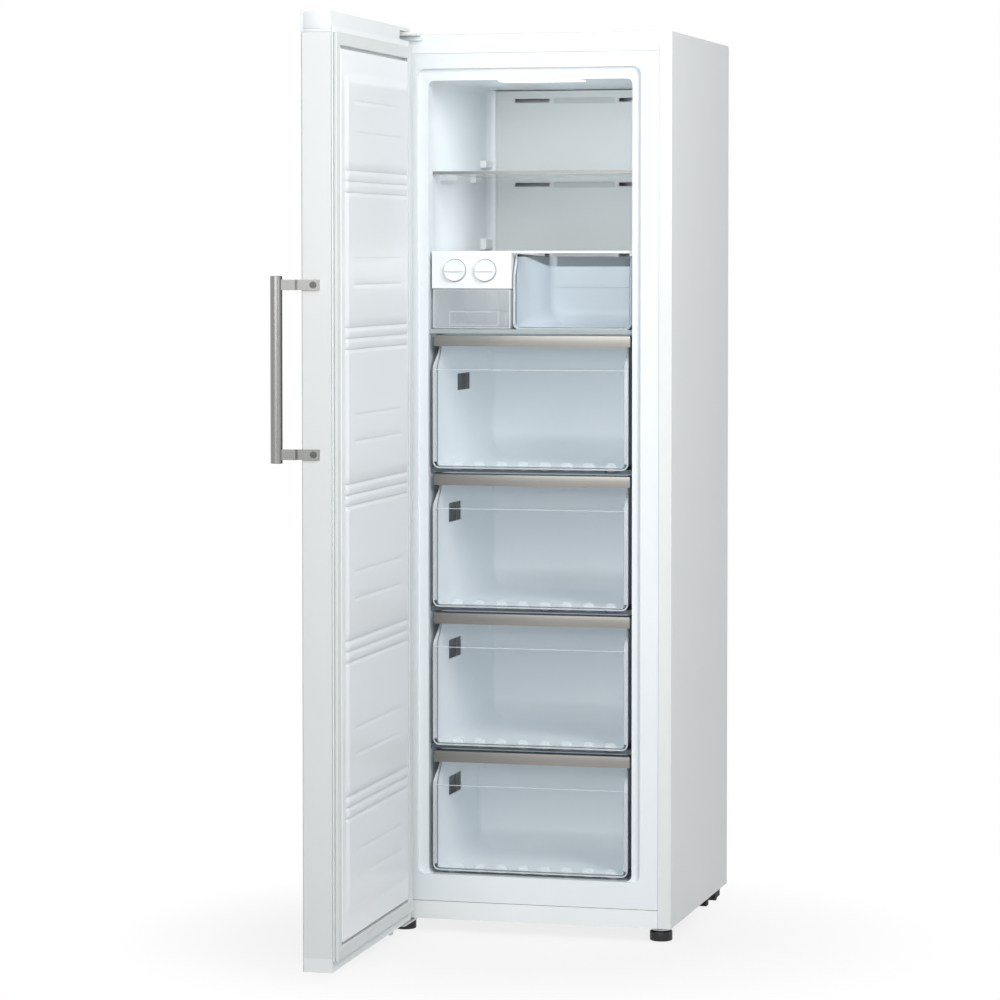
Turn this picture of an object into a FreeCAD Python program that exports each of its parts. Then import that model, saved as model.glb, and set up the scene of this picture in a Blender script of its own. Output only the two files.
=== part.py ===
import FreeCAD, Part
import os
import re
import Sketcher

# A full-height upright freezer, stored with its door swung open. Lengths are in millimetres and angles in
# degrees. The origin is on the floor, under the middle of the cabinet's front plane: X runs to the right,
# Y to the rear and Z up. The door's pieces are drawn about the hinge axis with the door shut, X along the
# door's width from the hinge and Y to the rear, and are then swung open together.

SIZES = {
    # cabinet shell
    "cabinet_width": 595,
    "cabinet_depth": 580,
    "cabinet_top": 1841,
    "cabinet_bottom": 28,
    "steel_wall": 1,
    "front_return": 26.5,
    "rear_corner_radius": 8,
    "rear_lip": 2,
    "rear_inset": 9,
    "seam": 0.5,
    "plastic_wall": 2.5,
    "top_cover_height": 38,
    "top_cover_depth": 40,
    "kick_height": 37,
    "kick_depth": 14,
    "fit_gap": 0.3,
    # inner liner and its front frame
    "liner_wall": 2.5,
    "frame_side": 37.5,
    "frame_head": 31,
    "frame_sill": 55,
    "step_side": 19.5,
    "step_head": 24,
    "step_depth": 10,
    "step_radius": 16,
    "step_softening": 3,
    "opening_radius": 12,
    "rear_foam": 42,
    "chamber_ledge": 20,
    "chamber_depth": 56,
    # machine room under the rear of the compartment
    "room_depth": 188,
    "room_height": 187,
    "room_foam": 45,
    "base_plate": 1.5,
    "boss_radius": 9,
    "boss_height": 16,
    # door
    "door_edge_gap": 1.5,
    "door_thickness": 58,
    "door_gap": 12,
    "door_rise": 12,
    "door_drop": 2.5,
    "door_rest_angle": 88.5,
    "hinge_from_edge": 24.5,
    "hinge_from_face": 25.4,
    "cap_height": 27,
    "door_corner_radius": 3,
    "door_return": 10,
    "gasket_hinge_margin": 25,
    "gasket_free_margin": 4.5,
    "gasket_head_margin": 39,
    "gasket_foot_margin": 22,
    "gasket_width": 24,
    "gasket_relief": 0.4,
    "dyke_setback": 2,
    "dyke_height": 11,
    "dyke_draft": 5,
    "plug_height": 4,
    "plug_gap": 7.5,
    "plug_from_sill": 2,
    "plug_from_head": 15,
    "groove_width": 7,
    "groove_depth": 2.5,
    "groove_pitch": 21,
    "groove_foot_margin": 210,
    "groove_head_margin": 201,
    # hinges
    "pin_radius": 5,
    "pin_play": 0.08,
    "bush_wall": 2,
    "bush_height": 15,
    "hinge_plate": 3,
    "hinge_arm_left": 8,
    "hinge_arm_reach": 10,
    "hinge_cover_width": 58,
    "hinge_cover_height": 14,
    "hinge_cover_drop": 11.5,
    "hinge_cover_wall": 2,
    "notch_length": 80,
    "notch_depth": 49,
    "notch_roof": 7,
    "notch_height": 18.5,
    "hinge_block_depth": 22,
    "hinge_block_half": 16,
    "low_arm_plate": 4,
    "low_arm_rear": 24,
    "stop_lug": 16,
    "stop_lug_reach": 33,
    "stop_lug_foot": 2,
    "blank_width": 85,
    "blank_height": 23,
    "blank_inset": 4.5,
    "blank_wall": 1.5,
    # handle
    "handle_length": 356,
    "handle_middle": 1175,
    "handle_radius": 11.5,
    "handle_standoff": 47,
    "handle_overhang": 8,
    "handle_spacing": 322,
    "bracket_height": 20,
    "bracket_plate": 3.5,
    "bracket_grip": 36,
    "bracket_tail": 18,
    "neck_width": 9,
    "screw_radius": 4,
    "screw_head": 6.6,
    "screw_from_corner": 24,
    # feet and rollers
    "foot_from_side": 26.5,
    "foot_from_front": 33,
    "foot_radius": 23,
    "foot_pad": 12,
    "foot_flange_radius": 16,
    "foot_flange": 4,
    "stem_radius": 5,
    "thread_play": 0.08,
    "roller_radius": 15,
    "roller_width": 18,
    "roller_axle": 4,
    "roller_from_side": 20,
    "roller_from_rear": 62,
    "roller_cheek": 3,
    "roller_play": 0.4,
    "bracket_length": 46,
    "bracket_clearance": 8,
    "skid_from_front": 412,
    "skid_length": 22,
    "skid_foot": 5,
    # shelves
    "shelf_drop": 184,
    "shelf_setback": 44,
    "glass": 4,
    "shelf_trim_height": 6.5,
    "shelf_trim_depth": 14,
    "shelf_trim_lip": 1.2,
    "shelf_side_gap": 0.3,
    "bracket_reach": 12,
    "bracket_thickness": 12,
    "deck_drop": 507,
    "deck_thickness": 10,
    "deck_setback": 18,
    "divider_thickness": 5,
    "divider_setback": 26,
    "divider_bar": 9,
    "rail_height": 6,
    "rail_reach": 8,
    # four large drawers
    "drawer_headroom": 2,
    "drawer_gap": 13,
    "low_drawer_lift": 8,
    "low_drawer_loss": 26,
    "drawer_setback": 12,
    "drawer_side_gap": 10,
    "drawer_rear_gap": 32,
    "low_drawer_rear_gap": 12,
    "front_wall": 3,
    "front_radius": 10,
    "tub_inset": 6,
    "tub_wall": 2.5,
    "tub_radius": 8,
    "trim_height": 23,
    "trim_depth": 30,
    "trim_wall": 2,
    "grip_drop": 78,
    "window_from_front": 140,
    "window_length": 94,
    "window_drop": 56,
    "window_height": 39,
    "top_window_from_front": 216,
    "top_window_length": 99,
    "top_window_drop": 77,
    "top_window_height": 35,
    # ice maker, ice bucket and small drawer
    "ice_left_gap": 5,
    "ice_width": 168,
    "ice_rise": 160,
    "ice_height": 77,
    "ice_setback": 20,
    "ice_depth": 280,
    "knob_pitch": 64,
    "knob_shift": 3,
    "knob_radius": 22,
    "knob_thickness": 7.7,
    "knob_ridge": 6,
    "knob_ridge_reach": 4,
    "knob_shaft": 8,
    "shaft_play": 0.1,
    "knob_seat": 0.3,
    "tray_half_width": 27,
    "tray_depth": 22,
    "tray_wall": 1.6,
    "tray_gap": 6,
    "tray_rib_drop": 8,
    "tray_rows": 6,
    "tray_pin": 4,
    "bar_height": 5,
    "bar_depth": 8,
    "bucket_headroom": 2,
    "bucket_wall": 3,
    "bucket_depth": 245,
    "bucket_trim": 1.5,
    "bucket_radius": 6,
    "small_gap": 6,
    "small_rise": 154,
    "small_setback": 25,
    "small_depth": 300,
    "small_side_gap": 8,
    "small_wall": 2.5,
    "small_radius": 8,
    "small_rim": 5,
    # air system
    "duct_thickness": 3,
    "duct_setback": 4,
    "duct_headroom": 2,
    "slot_near": 76.7,
    "slot_far": 153.5,
    "slot_height": 8.5,
    "slot_ceiling_drop": 23,
    "slot_shelf_drop": 20,
    "slot_ice_drop": 10,
    "slot_drop": 39,
    "coil_side_gap": 14,
    "coil_drop": 111,
    "coil_height": 430,
    "coil_gap": 8,
    "coil_fin": 2,
    "coil_fins": 18,
    "coil_tube": 4,
    "coil_rows": 6,
    "heater_radius": 4.5,
    "heater_drop": 14,
    "heater_bend": 24,
    "fan_rise": 39,
    "fan_radius": 52,
    "fan_hub": 14,
    "fan_blade": 1.6,
    "fan_blades": 5,
    "fan_depth": 16,
    "fan_pitch": 32,
    "motor_radius": 24,
    "motor_depth": 14,
    "shaft_radius": 2.5,
    "spin_play": 0.06,
    "motor_flange": 4,
    "lamp_left": 70,
    "lamp_right": 102,
    "lamp_from_front": 14,
    "lamp_depth": 50,
    "lamp_thickness": 3,
    # machine room contents
    "compressor_x": 60,
    "compressor_radius": 72,
    "compressor_height": 128,
    "compressor_foot": 14,
    "grommet_radius": 11,
    "grommet_bore": 4,
    "grommet_reach": 76,
    "grommet_span": 64,
    "tray_top_gap": 0.3,
    "drain_height": 18,
    "drain_wall": 2,
    "drain_half_width": 80,
    "drain_half_depth": 60,
    "pipe_radius": 4,
    "pipe_bend": 22,
    "pipe_rise": 70,
    "pipe_run": 60,
    "inlet_from_side": 59.5,
    "inlet_height": 60,
    "inlet_radius": 11,
    "inlet_length": 26,
    "inlet_plate": 3,
}

# Places that several pieces share, each spelled out in the sizes above or in one another.
PLACES = {
    "half": "cabinet_width / 2",
    "return_x": "half - front_return",
    "step_x": "return_x - frame_side",
    "inside_x": "step_x - step_side",
    "chamber_x": "inside_x - chamber_ledge",
    "coil_half_width": "chamber_x - coil_side_gap",
    "chamber_back": "cabinet_depth - rear_foam",
    "compartment_depth": "chamber_back - chamber_depth",
    "cover_bottom": "cabinet_top - top_cover_height",
    "kick_top": "cabinet_bottom + kick_height",
    "sill": "kick_top + frame_sill",
    "step_top": "cover_bottom - frame_head",
    "ceiling": "step_top - step_head",
    "room_front": "cabinet_depth - room_depth",
    "room_top": "cabinet_bottom + room_height",
    "hump_front": "room_front - room_foam",
    "hump_top": "room_top + room_foam",
    "panel_back": "cabinet_depth - rear_inset",
    "floor_top": "cabinet_bottom + base_plate",
    # door, about the hinge axis
    "door_width": "cabinet_width - 2 * door_edge_gap",
    "hinge_x": "hinge_from_edge - door_width / 2",
    "hinge_y": "0 - door_gap - hinge_from_face",
    "door_left": "0 - hinge_from_edge",
    "door_right": "door_width - hinge_from_edge",
    "door_inside": "hinge_from_face",
    "door_outside": "hinge_from_face - door_thickness",
    "door_top": "cabinet_top + door_rise",
    "door_bottom": "cabinet_bottom - door_drop",
    "skin_top": "door_top - cap_height",
    "skin_bottom": "door_bottom + cap_height",
    "gasket_left": "door_left + gasket_hinge_margin",
    "gasket_right": "door_right - gasket_free_margin",
    "gasket_top": "door_top - gasket_head_margin",
    "gasket_bottom": "door_bottom + gasket_foot_margin",
    "dyke_edge": "gasket_width + dyke_setback",
    "notch_top": "door_top - notch_roof",
    "notch_floor": "notch_top - notch_height",
    "bush_foot": "notch_floor - bush_height",
    "arm_top": "cabinet_top",
    "plug_low": "sill + plug_from_sill",
    "plug_high": "ceiling - plug_from_head",
    "groove_group_low": "plug_low + groove_foot_margin",
    "groove_group_pitch": "(plug_high - groove_head_margin - groove_group_low) / 4",
    # shelves hang from the ceiling, and the drawers share what is left above the sill
    "shelf_top": "ceiling - shelf_drop",
    "shelf_bottom": "shelf_top - glass - shelf_trim_lip",
    "deck_top": "ceiling - deck_drop",
    "deck_bottom": "deck_top - deck_thickness",
    "first_top": "deck_bottom - drawer_headroom",
    "drawer_pitch": "(first_top - sill - low_drawer_lift + low_drawer_loss + drawer_gap) / 4",
    "drawer_height": "drawer_pitch - drawer_gap",
    "front_x": "inside_x - drawer_side_gap",
    "tub_x": "front_x - tub_inset",
    # ice maker and small drawer
    "ice_top": "deck_top + ice_rise",
    "ice_left": "ice_left_gap - inside_x",
    "ice_right": "ice_left + ice_width",
    "ice_middle": "(ice_left + ice_right) / 2 - knob_shift",
    "ice_bottom": "ice_top - ice_height",
    "ice_back": "ice_setback + ice_depth",
    "knob_height": "ice_bottom + ice_height / 2 - 1.5",
    "tray_front": "ice_setback + plastic_wall + tray_gap",
    "tray_back": "ice_back - plastic_wall - tray_gap",
    "small_top": "deck_top + small_rise",
    "small_left": "ice_right + small_gap",
    "small_right": "inside_x - small_side_gap",
    # air system and supply
    "slot_row_1": "ceiling - slot_ceiling_drop",
    "slot_row_2": "shelf_top - slot_shelf_drop",
    "slot_row_3": "ice_top - slot_ice_drop",
    "coil_top": "deck_top - coil_drop",
    "coil_bottom": "coil_top - coil_height",
    "fan_height": "ice_top + fan_rise",
    "inlet_x": "half - inlet_from_side",
}

doc = FreeCAD.newDocument("upright_freezer")
sheet = doc.addObject("Spreadsheet::Sheet", "dims")
for row, (alias, size) in enumerate(SIZES.items(), start=1):
    sheet.set(f"A{row}", alias)
    sheet.set(f"B{row}", str(size))
    sheet.setAlias(f"B{row}", alias)
doc.recompute()

NODES = {}
AXES = {"X": FreeCAD.Vector(1, 0, 0), "Y": FreeCAD.Vector(0, 1, 0), "Z": FreeCAD.Vector(0, 0, 1)}


# ---- helpers ----


def formula(text):
    """Spell a place or size out in the sheet's own cells."""

    def spelled(match):
        word = match.group(0)
        if word in SIZES:
            return "dims." + word
        if word in PLACES:
            return "(" + formula(PLACES[word]) + ")"
        return word

    return re.sub(r"[a-z][a-z_0-9]*", spelled, str(text))


def number(text):
    """The present value of a place or size."""
    return float(sheet.evalExpression(formula(text)))


def bind(item, prop, text):
    item.setExpression(prop, formula(text))


def keep(label, item):
    """Name a finished sub-part, which is then written to a file of that name."""
    item.Label = label
    NODES[label] = item
    return item


def body(label):
    return keep(label, doc.addObject("PartDesign::Body", label))


def profile(owner, plane, lift, outlines):
    """A sketch on one of the body's own planes, moved along that plane's normal by lift. An outline is a list
    of corners, or a circle given as its middle and radius."""
    sketch = owner.newObject("Sketcher::SketchObject", owner.Name + "_sketch")
    support = [face for face in owner.Origin.OriginFeatures if face.Role == plane + "_Plane"][0]
    sketch.AttachmentSupport = [(support, "")]
    sketch.MapMode = "FlatFace"
    bind(sketch, ".AttachmentOffset.Base.z", lift)
    for outline in outlines:
        if isinstance(outline, dict):
            draw_circle(sketch, outline)
        else:
            draw_corners(sketch, outline)
    return sketch


def pin_point(sketch, edge, end, across, up):
    """Hold one point of a sketch at its distances from the sketch's origin."""
    for kind, text in (("DistanceX", across), ("DistanceY", up)):
        index = sketch.addConstraint(Sketcher.Constraint(kind, -1, 1, edge, end, number(text)))
        bind(sketch, f"Constraints[{index}]", text)


def draw_corners(sketch, corners):
    spots = [FreeCAD.Vector(number(across), number(up), 0) for across, up in corners]
    first = sketch.GeometryCount
    count = len(corners)
    for i in range(count):
        sketch.addGeometry(Part.LineSegment(spots[i], spots[(i + 1) % count]))
    for i in range(count):
        joint = Sketcher.Constraint("Coincident", first + i, 2, first + (i + 1) % count, 1)
        sketch.addConstraint(joint)
    for i, (across, up) in enumerate(corners):
        pin_point(sketch, first + i, 1, across, up)


def draw_circle(sketch, circle):
    across, up = circle["middle"]
    centre = FreeCAD.Vector(number(across), number(up), 0)
    edge = sketch.addGeometry(Part.Circle(centre, FreeCAD.Vector(0, 0, 1), number(circle["radius"])))
    pin_point(sketch, edge, 3, across, up)
    index = sketch.addConstraint(Sketcher.Constraint("Radius", edge, number(circle["radius"])))
    bind(sketch, f"Constraints[{index}]", circle["radius"])


def ring(across, up, radius):
    return {"middle": (across, up), "radius": radius}


def rectangle(left, right, low, high):
    return [(left, low), (right, low), (right, high), (left, high)]


def pad(owner, plane, lift, outlines, length, way="ahead"):
    """Add material: ahead along the plane's normal, back against it, or both ways alike."""
    feature = owner.newObject("PartDesign::Pad", owner.Name + "_pad")
    feature.Profile = profile(owner, plane, lift, outlines)
    bind(feature, "Length", length)
    feature.Reversed = way == "back"
    if way == "both":
        feature.SideType = "Symmetric"
    return feature


def pocket(owner, plane, lift, outlines, length, way="ahead"):
    """Take material away: ahead along the plane's normal, back against it, or both ways alike."""
    doc.recompute()
    before = owner.Shape.Volume
    feature = owner.newObject("PartDesign::Pocket", owner.Name + "_pocket")
    feature.Profile = profile(owner, plane, lift, outlines)
    bind(feature, "Length", length)
    feature.Reversed = way == "ahead"
    if way == "both":
        feature.SideType = "Symmetric"
    doc.recompute()
    if not owner.Shape.Volume < before:
        raise ValueError(feature.Name + " takes nothing away")
    return feature


def straight_edges(shape, axis, **places):
    """Names of the edges along an axis whose middle lies at one of the places given for each direction."""
    wanted = {letter: [number(text) for text in texts] for letter, texts in places.items()}
    names = []
    for index, edge in enumerate(shape.Edges, start=1):
        if len(edge.Vertexes) != 2 or edge.Curve.TypeId != "Part::GeomLine":
            continue
        if abs(abs(edge.tangentAt(edge.FirstParameter).dot(AXES[axis])) - 1) > 1e-6:
            continue
        middle = edge.CenterOfMass
        if all(
            min(abs(getattr(middle, letter) - value) for value in values) < 0.01
            for letter, values in wanted.items()
        ):
            names.append(f"Edge{index}")
    return names


def round_off(owner, radius, axis, **places):
    """Round the edges of a body that run along an axis at the places given."""
    doc.recompute()
    base = owner.Tip
    feature = owner.newObject("PartDesign::Fillet", owner.Name + "_fillet")
    feature.Base = (base, straight_edges(base.Shape, axis, **places))
    bind(feature, "Radius", radius)
    doc.recompute()
    if not feature.Base[1] or "Invalid" in feature.State:
        raise ValueError(feature.Name + " rounds nothing off")
    return feature


def round_edges(shape, height):
    """Names of the circles that lie at a height."""
    level = number(height)
    return [
        f"Edge{index}"
        for index, edge in enumerate(shape.Edges, start=1)
        if edge.Curve.TypeId == "Part::GeomCircle" and abs(edge.CenterOfMass.z - level) < 0.01
    ]


def ease(owner, kind, size_name, size, *heights):
    """Chamfer or fillet the circles of a body that lie at the heights given."""
    doc.recompute()
    base = owner.Tip
    feature = owner.newObject("PartDesign::" + kind, owner.Name + "_eased")
    feature.Base = (base, [name for height in heights for name in round_edges(base.Shape, height)])
    bind(feature, size_name, size)
    doc.recompute()
    if not feature.Base[1] or "Invalid" in feature.State:
        raise ValueError(feature.Name + " eases nothing")
    return feature


def block(name, x, y, z):
    """A plain box between two places along each direction."""
    item = doc.addObject("Part::Box", name)
    for letter, size, (low, high) in zip("xyz", ("Length", "Width", "Height"), (x, y, z)):
        bind(item, size, f"({high}) - ({low})")
        bind(item, f".Placement.Base.{letter}", low)
    return item


TURNS = {
    "X": FreeCAD.Rotation(FreeCAD.Vector(0, 1, 0), 90),
    "Y": FreeCAD.Rotation(FreeCAD.Vector(1, 0, 0), -90),
    "Z": FreeCAD.Rotation(),
}


def rod(name, axis, at, radius, span):
    """A cylinder along an axis: at gives its middle in the other two directions, span its two ends."""
    item = doc.addObject("Part::Cylinder", name)
    item.Placement = FreeCAD.Placement(FreeCAD.Vector(), TURNS[axis])
    bind(item, "Radius", radius)
    bind(item, "Height", f"({span[1]}) - ({span[0]})")
    spots = dict(zip([letter for letter in "XYZ" if letter != axis], at))
    spots[axis] = span[0]
    for letter, text in spots.items():
        bind(item, f".Placement.Base.{letter.lower()}", text)
    return item


def cut(name, base, *tools):
    item = doc.addObject("Part::Cut", name)
    item.Base = base
    item.Tool = tools[0] if len(tools) == 1 else fuse(name + "_tools", *tools)
    return item


def fuse(name, *pieces):
    item = doc.addObject("Part::MultiFuse", name)
    item.Shapes = list(pieces)
    return item


def group(name, *pieces):
    """Pieces that stay separate solids of one sub-part."""
    item = doc.addObject("Part::Compound", name)
    item.Links = list(pieces)
    return item


def soften(name, base, radius, axis, **places):
    """Round the edges of a plain solid that run along an axis at the places given."""
    doc.recompute()
    item = doc.addObject("Part::Fillet", name)
    item.Base = base
    size = number(radius)
    names = straight_edges(base.Shape, axis, **places)
    item.Edges = [(int(edge[4:]), size, size) for edge in names]
    return item


# ---- cabinet shell ----


def make_wrapper():
    """One folded sheet: both sides, the top, and the narrow returns beside the front frame."""
    shell = body("cabinet_wrapper")
    side = rectangle("0", "cabinet_depth", "cabinet_bottom", "cabinet_top")
    pad(shell, "YZ", "0", [side], "cabinet_width", "both")
    room = [
        ("steel_wall", "cabinet_bottom - 5"),
        ("cabinet_depth + 5", "cabinet_bottom - 5"),
        ("cabinet_depth + 5", "cabinet_top - rear_corner_radius - rear_lip"),
        ("cabinet_depth - steel_wall", "cabinet_top - rear_corner_radius - rear_lip"),
        ("cabinet_depth - steel_wall", "cabinet_top - steel_wall"),
        ("steel_wall", "cabinet_top - steel_wall"),
    ]
    pocket(shell, "YZ", "0", [room], "cabinet_width - 2 * steel_wall", "both")
    lip = "rear_corner_radius - steel_wall"
    round_off(shell, lip, "X", y=["cabinet_depth - steel_wall"], z=["cabinet_top - steel_wall"])
    round_off(shell, "rear_corner_radius", "X", y=["cabinet_depth"], z=["cabinet_top"])
    window = rectangle("0 - return_x", "return_x", "cabinet_bottom - 5", "cabinet_top - steel_wall / 2")
    pocket(shell, "XZ", "5", [window], "steel_wall + 5", "back")
    notch = rectangle("0 - return_x", "return_x", "0 - 5", "top_cover_depth")
    pocket(shell, "XY", "cabinet_top - 5", [notch], "10", "ahead")


def make_liner():
    """The white tub: front frame, stepped mouth, and one room for the food and the cold coil behind it."""
    liner = body("inner_liner")
    frame = rectangle("seam - return_x", "return_x - seam", "kick_top + seam", "cover_bottom - seam")
    pad(liner, "XZ", "0", [frame], "liner_wall", "back")
    step = rectangle(
        "0 - step_x - liner_wall", "step_x + liner_wall", "sill - liner_wall", "step_top + liner_wall"
    )
    pad(liner, "XZ", "0", [step], "step_depth + liner_wall", "back")
    tub = [
        ("step_depth", "sill - liner_wall"),
        ("hump_front + liner_wall", "sill - liner_wall"),
        ("hump_front + liner_wall", "hump_top - liner_wall"),
        ("chamber_back + liner_wall", "hump_top - liner_wall"),
        ("chamber_back + liner_wall", "ceiling + liner_wall"),
        ("step_depth", "ceiling + liner_wall"),
    ]
    pad(liner, "YZ", "0", [tub], "2 * (inside_x + liner_wall)", "both")
    mouth = rectangle("0 - step_x", "step_x", "sill", "step_top")
    pocket(liner, "XZ", "0", [mouth], "step_depth", "back")
    round_off(liner, "step_radius", "Y", x=["0 - step_x", "step_x"])
    round_off(
        liner,
        "step_radius + liner_wall",
        "Y",
        x=["0 - step_x - liner_wall", "step_x + liner_wall"],
        y=["step_depth / 2 + liner_wall"],
    )
    inside = [
        ("step_depth - 1", "sill"),
        ("hump_front", "sill"),
        ("hump_front", "hump_top"),
        ("chamber_back", "hump_top"),
        ("chamber_back", "ceiling"),
        ("step_depth - 1", "ceiling"),
    ]
    pocket(liner, "YZ", "0", [inside], "2 * inside_x", "both")
    round_off(liner, "opening_radius", "Y", x=["0 - inside_x", "inside_x"], z=["sill", "ceiling"])


def make_foam():
    """Insulation between the outer sheet and the tub, one block with everything else cut from it."""
    side = "half - steel_wall - fit_gap"
    wrap = "(liner_wall + fit_gap)"
    whole = block(
        "foam_block",
        (f"0 - ({side})", side),
        (wrap, "panel_back - fit_gap"),
        ("floor_top + fit_gap", "cabinet_top - steel_wall - fit_gap"),
    )
    across = (f"0 - inside_x - {wrap}", f"inside_x + {wrap}")
    tools = [
        block("foam_kick", ("0 - return_x", "return_x"), ("0", "kick_depth + fit_gap"), ("0", "kick_top + seam")),
        block(
            "foam_cover",
            ("0 - return_x - fit_gap", "return_x + fit_gap"),
            ("0", "top_cover_depth + fit_gap"),
            ("cover_bottom - seam", "cabinet_top + 5"),
        ),
        block(
            "foam_step",
            (f"0 - step_x - {wrap}", f"step_x + {wrap}"),
            ("0", f"step_depth + {wrap}"),
            (f"sill - {wrap}", f"step_top + {wrap}"),
        ),
        block(
            "foam_tub",
            across,
            ("0", f"chamber_back + {wrap}"),
            (f"hump_top - {wrap}", f"ceiling + {wrap}"),
        ),
        block("foam_tub_low", across, ("0", f"hump_front + {wrap}"), (f"sill - {wrap}", "hump_top")),
        block(
            "foam_room",
            ("0 - half", "half"),
            ("room_front - base_plate - fit_gap", "cabinet_depth"),
            ("0", "room_top + fit_gap"),
        ),
    ]
    for name, sign in (("left", "0 -"), ("right", "0 +")):
        at = (f"{sign} (half - foot_from_side)", "foot_from_front")
        tools.append(rod("foam_foot_" + name, "Z", at, "boss_radius + 1", ("0", "floor_top + boss_height + 1")))
    keep("cabinet_foam", cut("cabinet_foam", whole, *tools))


def wheel_well(sign):
    """The room that a rear roller turns in: its two sides, its front and its rear."""
    middle = f"{sign} (half - roller_from_side)"
    wide = "(roller_width / 2 + roller_play)"
    along = "cabinet_depth - roller_from_rear"
    sides = (f"{middle} - {wide}", f"{middle} + {wide}")
    return sides, f"{along} - roller_radius - 2", f"{along} + roller_radius + 2"


def make_base():
    """Steel floor plate with the machine room's front wall and roof, and a threaded boss for each front foot."""
    side = "half - steel_wall - fit_gap"
    across = (f"0 - ({side})", side)
    back = "cabinet_depth - 3"
    plates = [
        block("base_floor", across, ("kick_depth + seam", back), ("cabinet_bottom", "floor_top")),
        block("base_wall", across, ("room_front - base_plate", "room_front"), ("floor_top", "room_top")),
        block("base_roof", across, ("room_front - base_plate", "panel_back"), ("room_top - base_plate", "room_top")),
    ]
    bores = []
    for name, sign in (("left", "0 -"), ("right", "0 +")):
        at = (f"{sign} (half - foot_from_side)", "foot_from_front")
        top = "floor_top + boss_height"
        plates.append(rod("base_boss_" + name, "Z", at, "boss_radius", ("cabinet_bottom", top)))
        bore = ("cabinet_bottom - 1", top + " + 1")
        bores.append(rod("base_bore_" + name, "Z", at, "stem_radius + thread_play", bore))
        across, near, far = wheel_well(sign)
        bores.append(block("base_well_" + name, across, (near, far), ("cabinet_bottom - 1", "floor_top + 1")))
    keep("base_frame", cut("base_frame", fuse("base_plates", *plates), *bores))


def make_shell_trim():
    """Back panel, top cover, kick strip and the blank cover over the unused right hinge place."""
    side = "half - steel_wall - fit_gap"
    panel = block(
        "back_panel",
        (f"0 - ({side})", side),
        ("panel_back", "panel_back + steel_wall"),
        ("room_top - base_plate", "cabinet_top - steel_wall - fit_gap"),
    )
    keep("back_panel", panel)

    cover = body("top_cover")
    outline = rectangle("seam - return_x", "return_x - seam", "cover_bottom", "cabinet_top")
    pad(cover, "XZ", "0", [outline], "top_cover_depth", "back")
    round_off(cover, "plastic_wall / 2", "X", y=["0"], z=["cabinet_top"])
    hollow = rectangle(
        "plastic_wall + seam - return_x",
        "return_x - seam - plastic_wall",
        "cover_bottom + plastic_wall",
        "cabinet_top - plastic_wall",
    )
    pocket(cover, "XZ", "0 - plastic_wall", [hollow], "top_cover_depth", "back")

    strip = body("kick_strip")
    outline = rectangle("seam - return_x", "return_x - seam", "cabinet_bottom", "kick_top - seam")
    pad(strip, "XZ", "0", [outline], "kick_depth", "back")
    hollow = rectangle(
        "plastic_wall + seam - return_x",
        "return_x - seam - plastic_wall",
        "cabinet_bottom + plastic_wall",
        "kick_top - seam - plastic_wall",
    )
    pocket(strip, "XZ", "0 - plastic_wall", [hollow], "kick_depth", "back")

    blank = body("hinge_blank_cover")
    profile_line = [
        ("0 - blank_wall", "cabinet_top - blank_height"),
        ("0", "cabinet_top - blank_height"),
        ("0", "cabinet_top"),
        ("top_cover_depth", "cabinet_top"),
        ("top_cover_depth", "cabinet_top + blank_wall"),
        ("0 - blank_wall", "cabinet_top + blank_wall"),
    ]
    pad(blank, "YZ", "half - blank_inset - blank_width", [profile_line], "blank_width")
    round_off(blank, "blank_wall * 0.6", "X", y=["0 - blank_wall"], z=["cabinet_top + blank_wall"])


# ---- door ----


def swing(label):
    """Stand a piece of the door on the hinge axis and swing it open."""
    item = NODES[label]
    item.Placement = FreeCAD.Placement(FreeCAD.Vector(), FreeCAD.Rotation(FreeCAD.Vector(0, 0, -1), 1))
    bind(item, ".Placement.Base.x", "hinge_x")
    bind(item, ".Placement.Base.y", "hinge_y")
    bind(item, ".Placement.Rotation.Angle", "door_rest_angle * 1deg")


def make_door_skin():
    """Folded steel: outer face, both long edges and a narrow return onto the inner face at each."""
    skin = body("door_skin")
    section = [
        ("door_left", "door_outside"),
        ("door_right", "door_outside"),
        ("door_right", "door_inside"),
        ("door_right - door_return", "door_inside"),
        ("door_right - door_return", "door_inside - steel_wall"),
        ("door_right - steel_wall", "door_inside - steel_wall"),
        ("door_right - steel_wall", "door_outside + steel_wall"),
        ("door_left + steel_wall", "door_outside + steel_wall"),
        ("door_left + steel_wall", "door_inside - steel_wall"),
        ("door_left + door_return", "door_inside - steel_wall"),
        ("door_left + door_return", "door_inside"),
        ("door_left", "door_inside"),
    ]
    pad(skin, "XY", "skin_bottom", [section], "skin_top - skin_bottom")
    round_off(
        skin,
        "door_corner_radius - steel_wall",
        "Z",
        x=["door_left + steel_wall", "door_right - steel_wall"],
        y=["door_outside + steel_wall"],
    )
    round_off(skin, "door_corner_radius", "Z", x=["door_left", "door_right"], y=["door_outside"])


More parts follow.
